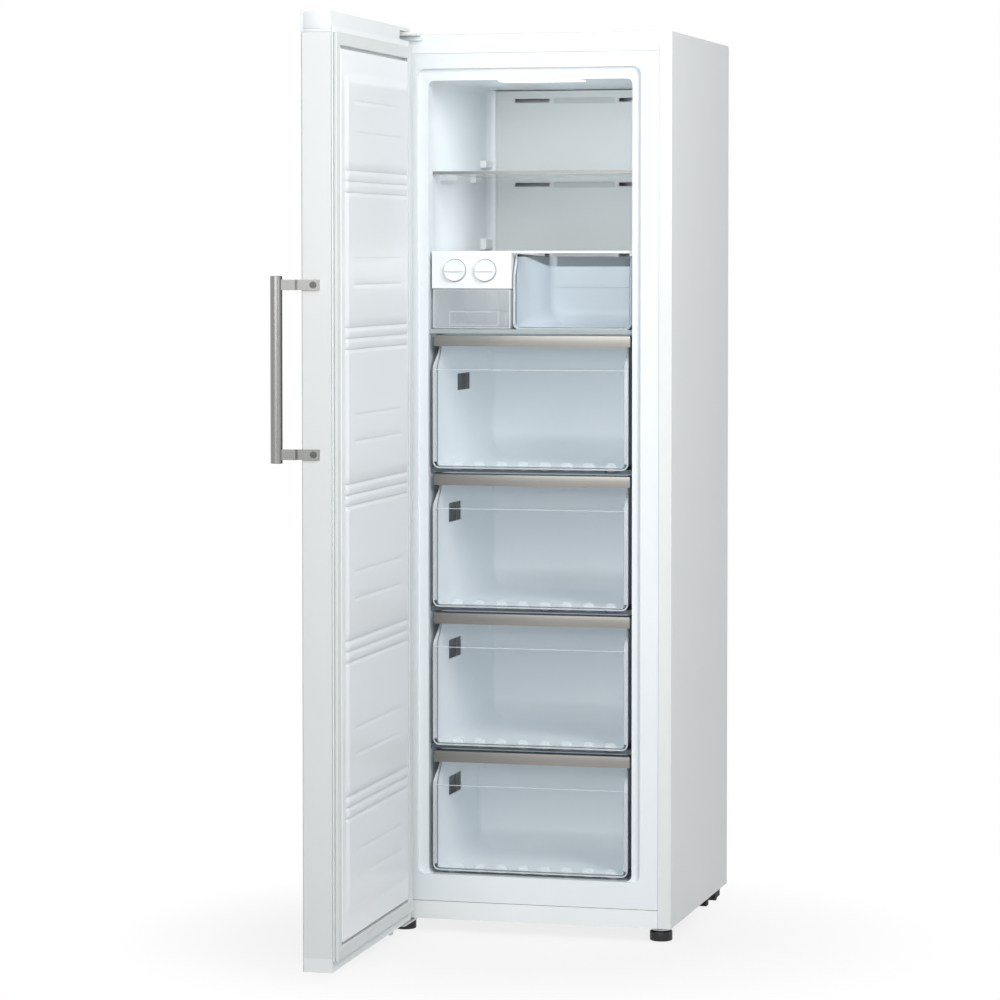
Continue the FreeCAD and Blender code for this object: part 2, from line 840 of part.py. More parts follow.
def make_door_caps():
    """Moulded caps on the door's two ends. The top one has the notch that the hinge arm reaches into."""
    outline = rectangle("door_left", "door_right", "door_outside", "door_inside")
    bush = ring("0", "0", "pin_radius + bush_wall + pin_play")

    top = body("door_top_cap")
    pad(top, "XY", "skin_top", [outline], "cap_height")
    inner = rectangle(
        "door_left + steel_wall + fit_gap", "hinge_block_half", "0 - hinge_block_half", "hinge_block_half"
    )
    pad(top, "XY", "skin_top", [inner], "hinge_block_depth", "back")
    round_off(top, "door_corner_radius", "Z", x=["door_left", "door_right"], y=["door_outside"])
    notch = rectangle("door_left - 5", "door_left + notch_length", "door_inside - notch_depth", "door_inside + 5")
    pocket(top, "XY", "notch_floor", [notch], "notch_height", "ahead")
    pocket(top, "XY", "notch_floor + 1", [bush], "notch_floor + 1 - bush_foot", "back")
    hollow = rectangle(
        "door_left + notch_length + plastic_wall",
        "door_right - plastic_wall",
        "door_outside + plastic_wall",
        "door_inside - plastic_wall",
    )
    pocket(top, "XY", "skin_top", [hollow], "cap_height - plastic_wall", "ahead")

    foot = body("door_bottom_cap")
    pad(foot, "XY", "door_bottom", [outline], "cap_height")
    round_off(foot, "door_corner_radius", "Z", x=["door_left", "door_right"], y=["door_outside"])
    pocket(foot, "XY", "door_bottom", [bush], "bush_height", "ahead")
    hollow = rectangle(
        "door_left + notch_length + plastic_wall",
        "door_right - plastic_wall",
        "door_outside + plastic_wall",
        "door_inside - plastic_wall",
    )
    pocket(foot, "XY", "skin_bottom", [hollow], "cap_height - plastic_wall", "back")


def make_hinge_bushes():
    """Plain plastic bushes that the two hinge pins turn in."""
    pieces = []
    for name, low, high in (
        ("top", "bush_foot", "notch_floor - seam"),
        ("bottom", "door_bottom", "door_bottom + bush_height - 1"),
    ):
        sleeve = rod("bush_" + name, "Z", ("0", "0"), "pin_radius + bush_wall", (low, high))
        bore = rod("bush_bore_" + name, "Z", ("0", "0"), "pin_radius + pin_play", (low + " - 1", high + " + 1"))
        pieces.append(cut("bush_ring_" + name, sleeve, bore))
    keep("hinge_bushes", group("hinge_bushes", *pieces))


def make_door_liner():
    """Inner panel: a flat margin, a raised dyke inside the gasket, and a low plug with its grooves."""
    panel = body("door_liner")
    margin = rectangle(
        "door_left + door_return + fit_gap", "door_right - door_return - fit_gap", "skin_bottom", "skin_top"
    )
    pad(panel, "XZ", "0 - door_inside + liner_wall", [margin], "liner_wall", "back")
    dyke = rectangle(
        "gasket_left + dyke_edge",
        "gasket_right - dyke_edge",
        "gasket_bottom + dyke_edge",
        "gasket_top - dyke_edge",
    )
    raised = pad(panel, "XZ", "0 - door_inside", [dyke], "dyke_height", "back")
    raised.TaperAngle = -number("dyke_draft")
    bind(raised, "TaperAngle", "0 - dyke_draft")
    face = "door_inside + dyke_height"
    plug_left = "plug_gap - step_x - hinge_x"
    plug_right = "step_x - plug_gap - hinge_x"
    plug = rectangle(plug_left, plug_right, "plug_low", "plug_high")
    pad(panel, "XZ", f"0 - ({face})", [plug], "plug_height", "back")
    round_off(panel, "step_radius", "Y", x=[plug_left, plug_right], z=["plug_low", "plug_high"])
    for step in (-1, 0, 1):
        height = f"groove_group_low + {step} * groove_pitch"
        groove = rectangle(
            f"{plug_left} - 1",
            f"{plug_right} + 1",
            f"{height} - groove_width / 2",
            f"{height} + groove_width / 2",
        )
        cutter = pocket(panel, "XZ", f"0 - ({face} + plug_height)", [groove], "groove_depth", "ahead")
        repeat = panel.newObject("PartDesign::LinearPattern", "groove_pattern")
        repeat.Originals = [cutter]
        repeat.Direction = (cutter.Profile[0], ["V_Axis"])
        repeat.Occurrences = 5
        bind(repeat, "Length", "4 * groove_group_pitch")
        panel.Tip = repeat
        doc.recompute()


def make_gasket():
    """One soft frame round the inner panel's dyke."""
    seal = body("door_gasket")
    outer = rectangle("gasket_left", "gasket_right", "gasket_bottom", "gasket_top")
    inner = rectangle(
        "gasket_left + gasket_width",
        "gasket_right - gasket_width",
        "gasket_bottom + gasket_width",
        "gasket_top - gasket_width",
    )
    pad(seal, "XZ", "0 - door_inside", [outer, inner], "door_gap - gasket_relief", "back")
    round_off(
        seal,
        "gasket_width / 8",
        "Z",
        x=["gasket_left", "gasket_right"],
        y=["door_inside + door_gap - gasket_relief"],
    )


def make_door_foam():
    """Insulation sealed inside the door."""
    fill = block(
        "door_foam",
        ("door_left + steel_wall + fit_gap", "door_right - steel_wall - fit_gap"),
        ("door_outside + steel_wall + fit_gap", "door_inside - liner_wall - fit_gap"),
        ("skin_bottom + fit_gap", "skin_top - fit_gap"),
    )
    edges = {
        "x": ["door_left + steel_wall + fit_gap", "door_right - steel_wall - fit_gap"],
        "y": ["door_outside + steel_wall + fit_gap"],
    }
    rounded = soften("door_foam_rounded", fill, "door_corner_radius - steel_wall", "Z", **edges)
    room = "hinge_block_half + fit_gap"
    corner = block(
        "door_foam_corner",
        ("door_left", room),
        (f"0 - ({room})", room),
        ("skin_top - hinge_block_depth - fit_gap", "skin_top"),
    )
    keep("door_foam", cut("door_foam", rounded, corner))


def make_handle():
    """Round bar on two brackets that grip the door's free edge, each held by one screw."""
    bar_x = "door_right + handle_overhang"
    bar_y = "door_outside - handle_standoff"
    bar = body("handle_bar")
    disc = ring(bar_x, bar_y, "handle_radius")
    low, high = "handle_middle - handle_length / 2", "handle_middle + handle_length / 2"
    pad(bar, "XY", low, [disc], "handle_length")
    ease(bar, "Chamfer", "Size", "handle_radius / 12", low, high)

    brackets = []
    screws = []
    for name, sign in (("low", "-"), ("high", "+")):
        middle = f"handle_middle {sign} handle_spacing / 2"
        tall = (f"{middle} - bracket_height / 2", f"{middle} + bracket_height / 2")
        outer = "door_right + bracket_plate"
        plate = block(
            "bracket_plate_" + name,
            ("door_right", outer),
            ("door_outside - bracket_tail", "door_outside + bracket_grip"),
            tall,
        )
        neck = block(
            "bracket_neck_" + name,
            (f"{bar_x} - neck_width / 2 - bracket_plate / 2", f"{bar_x} + neck_width / 2"),
            (bar_y, "door_outside - bracket_tail / 2"),
            tall,
        )
        foot = block(
            "bracket_foot_" + name,
            ("door_right", f"{bar_x} + neck_width / 2"),
            ("door_outside - bracket_tail", "door_outside - bracket_tail / 2"),
            tall,
        )
        at = ("door_outside + screw_from_corner", middle)
        bore = rod("bracket_bore_" + name, "X", at, "screw_radius + 0.2", ("door_right - 5", "door_right + 20"))
        bar_room = rod("bracket_bar_" + name, "Z", (bar_x, bar_y), "handle_radius", (tall[0] + " - 1", tall[1] + " + 1"))
        solid = fuse("bracket_solid_" + name, plate, neck, foot)
        brackets.append(cut("bracket_" + name, solid, bore, bar_room))
        head = rod("screw_head_" + name, "X", at, "screw_head", (outer, outer + " + 1.6"))
        shank = rod("screw_shank_" + name, "X", at, "screw_radius", ("door_right", outer))
        screws.append(fuse("screw_" + name, head, shank))
    keep("handle_brackets", group("handle_brackets", *brackets))
    keep("handle_screws", group("handle_screws", *screws))


# ---- hinges on the cabinet ----


def make_hinges():
    """Top arm with its cover and hanging pin, and the arm under the door with its standing pin."""
    arm_right = "hinge_x - hinge_arm_left + hinge_cover_width"
    reach = "hinge_y - hinge_arm_reach"
    arm = block(
        "top_arm",
        ("hinge_x - hinge_arm_left + hinge_cover_wall", arm_right + " - hinge_cover_wall"),
        ("hinge_y", "0"),
        ("arm_top - hinge_plate", "arm_top"),
    )
    eye = rod("top_eye", "Z", ("hinge_x", "hinge_y"), "hinge_arm_left - 1", ("arm_top - hinge_plate", "arm_top"))
    flange = block(
        "top_flange",
        ("hinge_x - hinge_arm_left + hinge_cover_wall", arm_right + " - hinge_cover_wall"),
        ("0 - hinge_plate", "0"),
        ("cabinet_top - hinge_cover_drop + hinge_cover_wall", "arm_top"),
    )
    pin = rod("top_pin", "Z", ("hinge_x", "hinge_y"), "pin_radius", ("bush_foot + 1", "arm_top"))
    keep("top_hinge", fuse("top_hinge", arm, eye, flange, pin))

    cover = block(
        "cover_block",
        ("hinge_x - hinge_arm_left", arm_right),
        ("0 - door_gap + 1", "0"),
        ("cabinet_top - hinge_cover_drop", "cabinet_top + hinge_cover_height - hinge_cover_drop"),
    )
    nose = rod(
        "cover_nose",
        "Z",
        ("hinge_x", "hinge_y"),
        "hinge_arm_left + 1",
        ("cabinet_top", "cabinet_top + hinge_cover_height - hinge_cover_drop"),
    )
    bridge = block(
        "cover_bridge",
        ("hinge_x - hinge_arm_left", "hinge_x + hinge_arm_left * 2"),
        ("hinge_y", "0"),
        ("cabinet_top", "cabinet_top + hinge_cover_height - hinge_cover_drop"),
    )
    inside = block(
        "cover_inside",
        ("hinge_x - hinge_arm_left + hinge_cover_wall - fit_gap", arm_right + " - hinge_cover_wall + fit_gap"),
        (reach + " - 5", "5"),
        ("cabinet_top - hinge_cover_drop + hinge_cover_wall - fit_gap", "cabinet_top"),
    )
    front = block(
        "cover_front",
        ("hinge_x - hinge_arm_left", arm_right),
        ("0 - door_gap + 1", "0 - door_gap + 1 + hinge_cover_wall"),
        ("cabinet_top - hinge_cover_drop", "arm_top - hinge_plate - fit_gap"),
    )
    shell = cut("cover_shell", fuse("cover_solid", cover, nose, bridge), inside)
    keep("top_hinge_cover", fuse("top_hinge_cover", shell, front))

    low_top = "door_bottom - 0.5"
    plate = block(
        "low_arm",
        ("hinge_x - foot_radius + 2", "hinge_x + foot_radius + 6"),
        ("hinge_y - stop_lug_reach", "low_arm_rear / 2"),
        (low_top + " - low_arm_plate", low_top),
    )
    riser = block(
        "low_riser",
        ("hinge_x - foot_radius + 2", "hinge_x + foot_radius + 6"),
        ("seam", "low_arm_rear"),
        (low_top + " - low_arm_plate", "cabinet_bottom"),
    )
    pin_low = rod(
        "low_pin",
        "Z",
        ("hinge_x", "hinge_y"),
        "pin_radius",
        (low_top + " - low_arm_plate", "door_bottom + bush_height - 2"),
    )
    lug = block(
        "low_lug",
        ("hinge_x - stop_lug", "hinge_x"),
        ("hinge_y - stop_lug_reach", "hinge_y - stop_lug_reach + stop_lug"),
        ("stop_lug_foot", low_top),
    )
    keep("bottom_hinge", fuse("bottom_hinge", plate, riser, pin_low, lug))


# ---- feet and rollers ----


def make_feet():
    for name, sign in (("left", "0 -"), ("right", "0 +")):
        foot = body("foot_" + name)
        across = f"{sign} (half - foot_from_side)"
        middle = (across, "foot_from_front")
        pad(foot, "XY", "0", [ring(*middle, "foot_radius")], "foot_pad")
        ease(foot, "Chamfer", "Size", "foot_pad / 8", "0", "foot_pad")
        pad(foot, "XY", "foot_pad", [ring(*middle, "foot_flange_radius")], "foot_flange")
        pad(foot, "XY", "foot_pad", [ring(*middle, "stem_radius")], "floor_top + boss_height - 4 - foot_pad")


def make_rollers():
    """Two rear rollers, each on an axle between the cheeks of its bracket."""
    brackets = []
    for name, sign in (("left", "0 -"), ("right", "0 +")):
        across = f"{sign} (half - roller_from_side)"
        along = "cabinet_depth - roller_from_rear"
        half_width = "roller_width / 2"
        wheel = body("roller_" + name)
        rings = [
            ring(along, "roller_radius", "roller_radius"),
            ring(along, "roller_radius", "roller_axle + spin_play"),
        ]
        pad(wheel, "YZ", f"{across} - {half_width}", [rings[0], rings[1]], "roller_width")

        outer = f"{half_width} + roller_play + roller_cheek"
        sides, near, far = wheel_well(sign)
        housing = block(
            "roller_housing_" + name,
            (f"{across} - ({outer})", f"{across} + {outer}"),
            (f"{along} - bracket_length / 2", f"{along} + bracket_length / 2"),
            ("bracket_clearance", "cabinet_bottom"),
        )
        well = block(
            "roller_well_" + name,
            sides,
            (near, far),
            ("0", "2 * roller_radius + 1"),
        )
        roof = block(
            "roller_roof_" + name,
            (f"{across} - ({outer})", f"{across} + {outer}"),
            (f"{along} + roller_radius + 3", f"{along} + bracket_length / 2"),
            ("bracket_clearance", "cabinet_bottom"),
        )
        axle = rod(
            "roller_axle_" + name,
            "X",
            (along, "roller_radius"),
            "roller_axle",
            (f"{across} - ({outer})", f"{across} + {outer}"),
        )
        skid = block(
            "roller_skid_" + name,
            sides,
            ("skid_from_front", "skid_from_front + skid_length"),
            ("skid_foot", "cabinet_bottom"),
        )
        cheeks = cut("roller_cheeks_" + name, housing, well)
        brackets += [fuse("roller_bracket_" + name, cheeks, roof, axle), skid]
    keep("roller_brackets", group("roller_brackets", *brackets))


# ---- shelves and rails ----


def make_shelves():
    """The glass shelf with its front trim, the deck under the ice maker, and a divider under each drawer."""
    wide = ("shelf_side_gap - inside_x", "inside_x - shelf_side_gap")
    back = "compartment_depth - 6"
    glass = block(
        "glass_shelf",
        wide,
        ("shelf_setback + shelf_trim_lip + fit_gap", back),
        ("shelf_top - shelf_trim_lip - fit_gap - glass", "shelf_top - shelf_trim_lip - fit_gap"),
    )
    keep("glass_shelf", glass)

    trim = body("glass_shelf_trim")
    section = [
        ("shelf_setback", "shelf_top - shelf_trim_height"),
        ("shelf_setback + shelf_trim_lip", "shelf_top - shelf_trim_height"),
        ("shelf_setback + shelf_trim_lip", "shelf_top - shelf_trim_lip"),
        ("shelf_setback + shelf_trim_depth", "shelf_top - shelf_trim_lip"),
        ("shelf_setback + shelf_trim_depth", "shelf_top"),
        ("shelf_setback", "shelf_top"),
    ]
    pad(trim, "YZ", "0", [section], "2 * (inside_x - shelf_side_gap)", "both")

    deck = block("deck_plate", wide, ("deck_setback", back), ("deck_bottom", "deck_top"))
    edges = {"y": ["deck_setback"]}
    keep("deck_shelf", soften("deck_shelf", deck, "deck_thickness / 6", "X", **edges))

    for index in (1, 2, 3):
        top = f"drawer_floor_{index} - fit_gap"
        plate = block(
            f"divider_plate_{index}",
            wide,
            ("divider_setback", back),
            (f"{top} - divider_thickness", top),
        )
        bar = block(
            f"divider_bar_{index}",
            wide,
            ("divider_setback", "divider_setback + divider_bar"),
            (f"{top} - divider_bar", top),
        )
        holes = []
        for place in (20, 155):
            holes.append(
                block(
                    f"divider_hole_{index}_{place}",
                    (f"{place}", f"{place} + 26"),
                    ("divider_setback - 1", "divider_setback + divider_bar / 2"),
                    (f"{top} - divider_bar + 2", f"{top} - 2"),
                )
            )
        solid = fuse(f"divider_solid_{index}", plate, bar)
        keep(f"divider_shelf_{index}", cut(f"divider_shelf_{index}", solid, *holes))


def make_rails():
    """Rails on both walls under the deck and the dividers, and two low rails on the compartment's floor."""
    pieces = []
    walls = (
        ("left", "0 - inside_x", "rail_reach - inside_x"),
        ("right", "inside_x - rail_reach", "inside_x"),
    )
    for side, low_x, high_x in walls:
        under = {"deck": "deck_bottom"}
        for index in (1, 2, 3):
            under[f"divider_{index}"] = f"drawer_floor_{index} - fit_gap - divider_thickness"
        for name, top in under.items():
            pieces.append(
                block(
                    f"rail_{side}_{name}",
                    (low_x, high_x),
                    ("divider_setback + divider_bar + 4", "compartment_depth - 20"),
                    (f"{top} - rail_height", top),
                )
            )
    for side, low_x, high_x in (
        ("left", "20 - tub_x", "32 - tub_x"),
        ("right", "tub_x - 32", "tub_x - 20"),
    ):
        pieces.append(
            block(
                "floor_rail_" + side,
                (low_x, high_x),
                ("drawer_setback + 24", "hump_front - 16"),
                ("sill", "sill + low_drawer_lift - fit_gap"),
            )
        )
    keep("drawer_runners", group("drawer_runners", *pieces))


def make_shelf_brackets():
    """White lugs on both walls: under and over the glass shelf, and one above the ice maker."""
    pieces = []
    walls = (
        ("left", "0 - inside_x", "bracket_reach - inside_x"),
        ("right", "inside_x - bracket_reach", "inside_x"),
    )
    glass_low = "shelf_top - shelf_trim_lip - 2 * fit_gap - glass"
    places = (
        ("front", "shelf_setback + 60", "shelf_setback + 145", f"{glass_low} - bracket_thickness", glass_low),
        ("rear", "shelf_setback + 296", "shelf_setback + 354", f"{glass_low} - bracket_thickness", glass_low),
        ("over", "compartment_depth - 59", "compartment_depth - 4", "shelf_top + 16", "shelf_top + 31"),
        ("ice", "compartment_depth - 59", "compartment_depth - 4", "ice_top + 3", "ice_top + 27"),
    )
    for side, low_x, high_x in walls:
        for name, near, far, low, high in places:
            lug = block(f"lug_{side}_{name}", (low_x, high_x), (near, far), (low, high))
            free = [high_x] if side == "left" else [low_x]
            pieces.append(soften(f"lug_{side}_{name}_soft", lug, "bracket_reach / 4", "Y", x=free))
    rest = block(
        "bar_rest",
        ("inside_x - rail_reach", "inside_x"),
        ("ice_setback", "ice_setback + 60"),
        ("ice_top - bar_height - rail_height", "ice_top - bar_height"),
    )
    hanger = block(
        "ice_hanger",
        ("0 - inside_x", "ice_left"),
        ("ice_setback + 20", "ice_back"),
        ("ice_bottom + 20", "ice_bottom + 32"),
    )
    keep("shelf_brackets", group("shelf_brackets", *pieces, rest, hanger))


# ---- drawers ----


def drawer_back(index):
    return "hump_front - low_drawer_rear_gap" if index == 4 else "compartment_depth - drawer_rear_gap"


def make_drawers():
    for index in (1, 2, 3, 4):
        top = f"drawer_top_{index}"
        bottom = f"drawer_floor_{index}"
        back = drawer_back(index)
        make_drawer(index, top, bottom, back)
        make_drawer_trim(index, top)


def make_drawer(index, top, bottom, back):
    """Clear tub. Its front leans back above a ledge, so that fingers reach behind the trim."""
    tub = body(f"drawer_{index}")
    front = "drawer_setback"
    ledge = f"{top} - grip_drop"
    lip = "drawer_setback + trim_depth"
    outside = [
        (front, bottom),
        (back, bottom),
        (back, top),
        (lip, top),
        (lip, f"{top} - trim_height"),
        (front, ledge),
    ]
    pad(tub, "YZ", "0", [outside], "2 * tub_x", "both")
    round_off(tub, "tub_radius", "Y", x=["0 - tub_x", "tub_x"], z=[bottom])
    plate = rectangle("0 - front_x", "front_x", bottom, ledge)
    pad(tub, "XZ", f"0 - {front}", [plate], "front_wall", "back")
    round_off(tub, "front_radius", "Y", x=["0 - front_x", "front_x"], z=[bottom])
    inside = [
        (f"{front} + front_wall", f"{bottom} + tub_wall"),
        (f"{back} - tub_wall", f"{bottom} + tub_wall"),
        (f"{back} - tub_wall", f"{top} + 5"),
        (f"{lip} + tub_wall", f"{top} + 5"),
        (f"{lip} + tub_wall", f"{top} - trim_height"),
        (f"{front} + front_wall", f"{ledge} - tub_wall / 2"),
    ]
    pocket(tub, "YZ", "0", [inside], "2 * (tub_x - tub_wall)", "both")
    round_off(
        tub,
        "tub_radius - tub_wall",
        "Y",
        x=["tub_wall - tub_x", "tub_x - tub_wall"],
        z=[f"{bottom} + tub_wall"],
    )
    hole = "top_window" if index == 1 else "window"
    window = rectangle(
        f"{hole}_from_front",
        f"{hole}_from_front + {hole}_length",
        f"{top} - {hole}_drop - {hole}_height",
        f"{top} - {hole}_drop",
    )
    pocket(tub, "YZ", "0", [window], "2 * tub_x + 10", "both")


def make_drawer_trim(index, top):
    """Metal-look grip strip along the drawer's top front edge, a folded cover over its leaning front."""
    strip = body(f"drawer_{index}_trim")
    front = "drawer_setback"
    low = f"{top} - trim_height"
    lip = "drawer_setback + trim_depth"
    section = [
        (front, low),
        (f"{front} + trim_wall", low),
        (f"{front} + trim_wall", f"{top} - trim_wall"),
        (f"{lip} - trim_wall", f"{top} - trim_wall"),
        (f"{lip} - trim_wall", low),
        (lip, low),
        (lip, top),
        (front, top),
    ]
    pad(strip, "YZ", "0", [section], "2 * (front_x - 1)", "both")
    round_off(strip, "trim_wall", "X", y=[front], z=[top])


# ---- ice maker, bucket, small drawer ----


def make_ice_maker():
    """White housing, open below so that the ice drops into the bucket, with a thin bar to the right wall."""
    shell = block("ice_shell", ("ice_left", "ice_right"), ("ice_setback", "ice_back"), ("ice_bottom", "ice_top"))
    room = block(
        "ice_room",
        ("ice_left + plastic_wall", "ice_right - plastic_wall"),
        ("ice_setback + plastic_wall", "ice_back - plastic_wall"),
        ("ice_bottom - 1", "ice_top - plastic_wall"),
    )
    bar = block(
        "ice_bar",
        ("ice_right - 1", "inside_x - shelf_side_gap"),
        ("ice_setback + 2", "ice_setback + 2 + bar_depth"),
        ("ice_top - bar_height + fit_gap", "ice_top"),
    )
    bores = []
    for name, sign in (("left", "-"), ("right", "+")):
        at = (f"ice_middle {sign} knob_pitch / 2", "knob_height")
        front = ("ice_setback - 1", "ice_setback + plastic_wall + 1")
        rear = ("ice_back - plastic_wall - 1", "ice_back + 1")
        bores.append(rod("ice_bore_" + name, "Y", at, "knob_shaft + shaft_play", front))
        bores.append(rod("ice_pivot_" + name, "Y", at, "tray_pin + shaft_play", rear))
    rounded = soften("ice_shell_soft", shell, "plastic_wall", "Y", z=["ice_top"], x=["ice_left", "ice_right"])
    solid = cut("ice_shell_open", rounded, room)
    keep("ice_maker_housing", cut("ice_maker_housing", fuse("ice_solid", solid, bar), *bores))

    for name, sign in (("left", "-"), ("right", "+")):
        across = f"ice_middle {sign} knob_pitch / 2"
        knob = body("ice_knob_" + name)
        face = "ice_setback - knob_seat"
        disc = ring(across, "knob_height", "knob_radius")
        pad(knob, "XZ", f"0 - ({face})", [disc], "knob_thickness", "ahead")
        ridge = rectangle(
            f"{across} - knob_radius * 0.92",
            f"{across} + knob_radius * 0.92",
            "knob_height - knob_ridge / 2",
            "knob_height + knob_ridge / 2",
        )
        pad(knob, "XZ", f"knob_thickness - ({face})", [ridge], "knob_ridge_reach", "ahead")
        shaft = ring(across, "knob_height", "knob_shaft")
        pad(knob, "XZ", f"0 - ({face})", [shaft], "tray_front - ice_setback + knob_seat", "back")

        tray = block(
            "tray_block_" + name,
            (f"{across} - tray_half_width", f"{across} + tray_half_width"),
            ("tray_front", "tray_back"),
            ("knob_height - tray_depth / 2", "knob_height + tray_depth / 2"),
        )
        pin = rod(
            "tray_pin_" + name, "Y", (across, "knob_height"), "tray_pin", ("tray_back - 1", "ice_back - 0.5")
        )
        cells = []
        pitch = "(tray_back - tray_front - tray_wall) / tray_rows"
        for column, (low_x, high_x) in enumerate(
            (
                (f"{across} - tray_half_width + tray_wall", f"{across} - tray_wall / 2"),
                (f"{across} + tray_wall / 2", f"{across} + tray_half_width - tray_wall"),
            )
        ):
            for cell in range(SIZES["tray_rows"]):
                near = f"tray_front + tray_wall + {cell} * {pitch}"
                cells.append(
                    block(
                        f"tray_cell_{name}_{column}_{cell}",
                        (low_x, high_x),
                        (near, f"{near} + {pitch} - tray_wall"),
                        ("knob_height - tray_depth / 2 + tray_wall", "knob_height + tray_depth / 2 + 1"),
                    )
                )
        brim = block(
            "tray_brim_" + name,
            (f"{across} - tray_half_width + tray_wall", f"{across} + tray_half_width - tray_wall"),
            ("tray_front + tray_wall", "tray_back - tray_wall"),
            ("knob_height + tray_depth / 2 - tray_rib_drop", "knob_height + tray_depth / 2 + 1"),
        )
        keep("ice_tray_" + name, cut("ice_tray_" + name, fuse("tray_solid_" + name, tray, pin), brim, *cells))


def make_open_box(label, x, y, z, wall, radius):
    """A clear box open above, with rounded upright corners outside and in."""
    box = body(label)
    pad(box, "XY", z[0], [rectangle(*x, *y)], f"({z[1]}) - ({z[0]})")
    inside = rectangle(f"{x[0]} + {wall}", f"{x[1]} - {wall}", f"{y[0]} + {wall}", f"{y[1]} - {wall}")
    pocket(box, "XY", f"{z[0]} + {wall}", [inside], f"({z[1]}) - ({z[0]})", "ahead")
    inner_x = [f"{x[0]} + {wall}", f"{x[1]} - {wall}"]
    inner_y = [f"{y[0]} + {wall}", f"{y[1]} - {wall}"]
    round_off(box, f"{radius} - {wall} / 2", "Z", x=inner_x, y=inner_y)
    round_off(box, radius, "Z", x=list(x), y=list(y))
    return box


def make_small_boxes():
    make_open_box(
        "ice_bucket",
        ("ice_left + bucket_trim", "ice_right - bucket_trim"),
        ("ice_setback", "ice_setback + bucket_depth"),
        ("deck_top + fit_gap", "ice_bottom - bucket_headroom"),
        "bucket_wall",
        "bucket_radius",
    )
    small = make_open_box(
        "small_drawer",
        ("small_left", "small_right"),
        ("small_setback", "small_setback + small_depth"),
        ("deck_top + fit_gap", "small_top"),
        "small_wall",
        "small_radius",
    )
    cutout = rectangle("small_left - 5", "small_right + 5", "small_top - 7", "small_top + 5")
    pocket(small, "XZ", "0 - small_setback - 20", [cutout], "small_depth", "back")


# ---- air system ----


def make_duct_panel():
    """Panel across the room in front of the cold coil: a ledge up each side, and air slots in every row."""
    panel = body("duct_panel")
    low, high = "hump_top + duct_headroom", "ceiling - duct_headroom"
    wide = "inside_x - fit_gap"
    front = "compartment_depth + duct_setback"
    section = [
        (f"0 - ({wide})", "compartment_depth"),
        ("0 - chamber_x", "compartment_depth"),
        ("0 - chamber_x", front),
        ("chamber_x", front),
        ("chamber_x", "compartment_depth"),
        (wide, "compartment_depth"),
        (wide, f"{front} + duct_thickness"),
        (f"0 - ({wide})", f"{front} + duct_thickness"),
    ]
    pad(panel, "XY", low, [section], f"{high} - ({low})")
    round_off(panel, "opening_radius", "Y", x=[f"0 - ({wide})", wide], z=[high])
    rows = ["slot_row_1", "slot_row_2", "slot_row_3"]
    rows += [f"drawer_top_{index} - slot_drop" for index in (1, 2, 3, 4)]
    slots = []
    for height in rows:
        low, high = f"{height} - slot_height / 2", f"{height} + slot_height / 2"
        slots.append(rectangle("slot_near", "slot_far", low, high))
        slots.append(rectangle("0 - slot_far", "0 - slot_near", low, high))
    pocket(panel, "XZ", f"1 - ({front})", slots, "duct_thickness + 2", "back")


def make_evaporator():
    """Finned coil: upright fins across a stack of level tubes."""
    near = "compartment_depth + duct_setback + duct_thickness + coil_gap"
    far = "chamber_back - fit_gap"
    pieces = []
    count = SIZES["coil_fins"]
    for index in range(count):
        place = f"{index} * (2 * coil_half_width - coil_fin) / {count - 1} - coil_half_width"
        pieces.append(block(f"fin_{index}", (place, f"{place} + coil_fin"), (near, far), ("coil_bottom", "coil_top")))
    rows = SIZES["coil_rows"]
    for index in range(rows):
        height = f"coil_bottom + ({index} + 0.5) * (coil_top - coil_bottom) / {rows}"
        middle = f"({near} + {far}) / 2"
        span = ("0 - coil_half_width - 6", "coil_half_width + 6")
        pieces.append(rod(f"coil_tube_{index}", "X", (middle, height), "coil_tube", span))
    keep("evaporator", fuse("evaporator", *pieces))


def make_heater():
    """Glass tube heater in a U below the coil, held to its lowest fins by two clips."""
    middle = "(compartment_depth + duct_setback + duct_thickness + coil_gap + chamber_back - fit_gap) / 2"
    height = "coil_bottom - heater_drop"
    pieces = [rod("heater_tube", "X", (middle, height), "heater_radius", ("0 - coil_half_width + 8", "coil_half_width - 8"))]
    for name, sign in (("left", "0 -"), ("right", "0 +")):
        across = f"{sign} (coil_half_width - heater_bend)"
        pieces.append(
            block(
                "heater_clip_" + name,
                (f"{across} - 3", f"{across} + 3"),
                (f"{middle} - 7", f"{middle} + 7"),
                (f"{height} - heater_radius - 2", "coil_bottom - fit_gap"),
            )
        )
    keep("defrost_heater", fuse("defrost_heater", *pieces))


def make_fan():
    """Motor on the chamber's back wall, and the rotor that turns on its shaft."""
    at = ("0", "fan_height")
    motor_front = "chamber_back - motor_depth"
    rotor_front = f"{motor_front} - fan_depth - 2"
    can = rod("motor_can", "Y", at, "motor_radius", (motor_front, "chamber_back"))
    shaft = rod("motor_shaft", "Y", at, "shaft_radius", (f"{rotor_front} + 1", motor_front))
    foot = block(
        "motor_foot",
        ("0 - motor_radius * 1.8", "motor_radius * 1.8"),
        ("chamber_back - motor_flange", "chamber_back"),
        ("fan_height - 9", "fan_height + 9"),
    )
    keep("fan_motor", fuse("fan_motor", can, shaft, foot))

    hub = rod("fan_hub_solid", "Y", at, "fan_hub", (rotor_front, f"{rotor_front} + fan_depth"))
    bore = rod("fan_bore", "Y", at, "shaft_radius + spin_play", (f"{rotor_front} + 0.5", f"{rotor_front} + fan_depth + 1"))
    blades = []
    count = SIZES["fan_blades"]
    for index in range(count):
        blades.append(fan_blade(index * 360 / count, f"{rotor_front} + fan_depth / 2"))
    keep("fan_rotor", cut("fan_rotor", fuse("fan_solid", hub, *blades), bore))


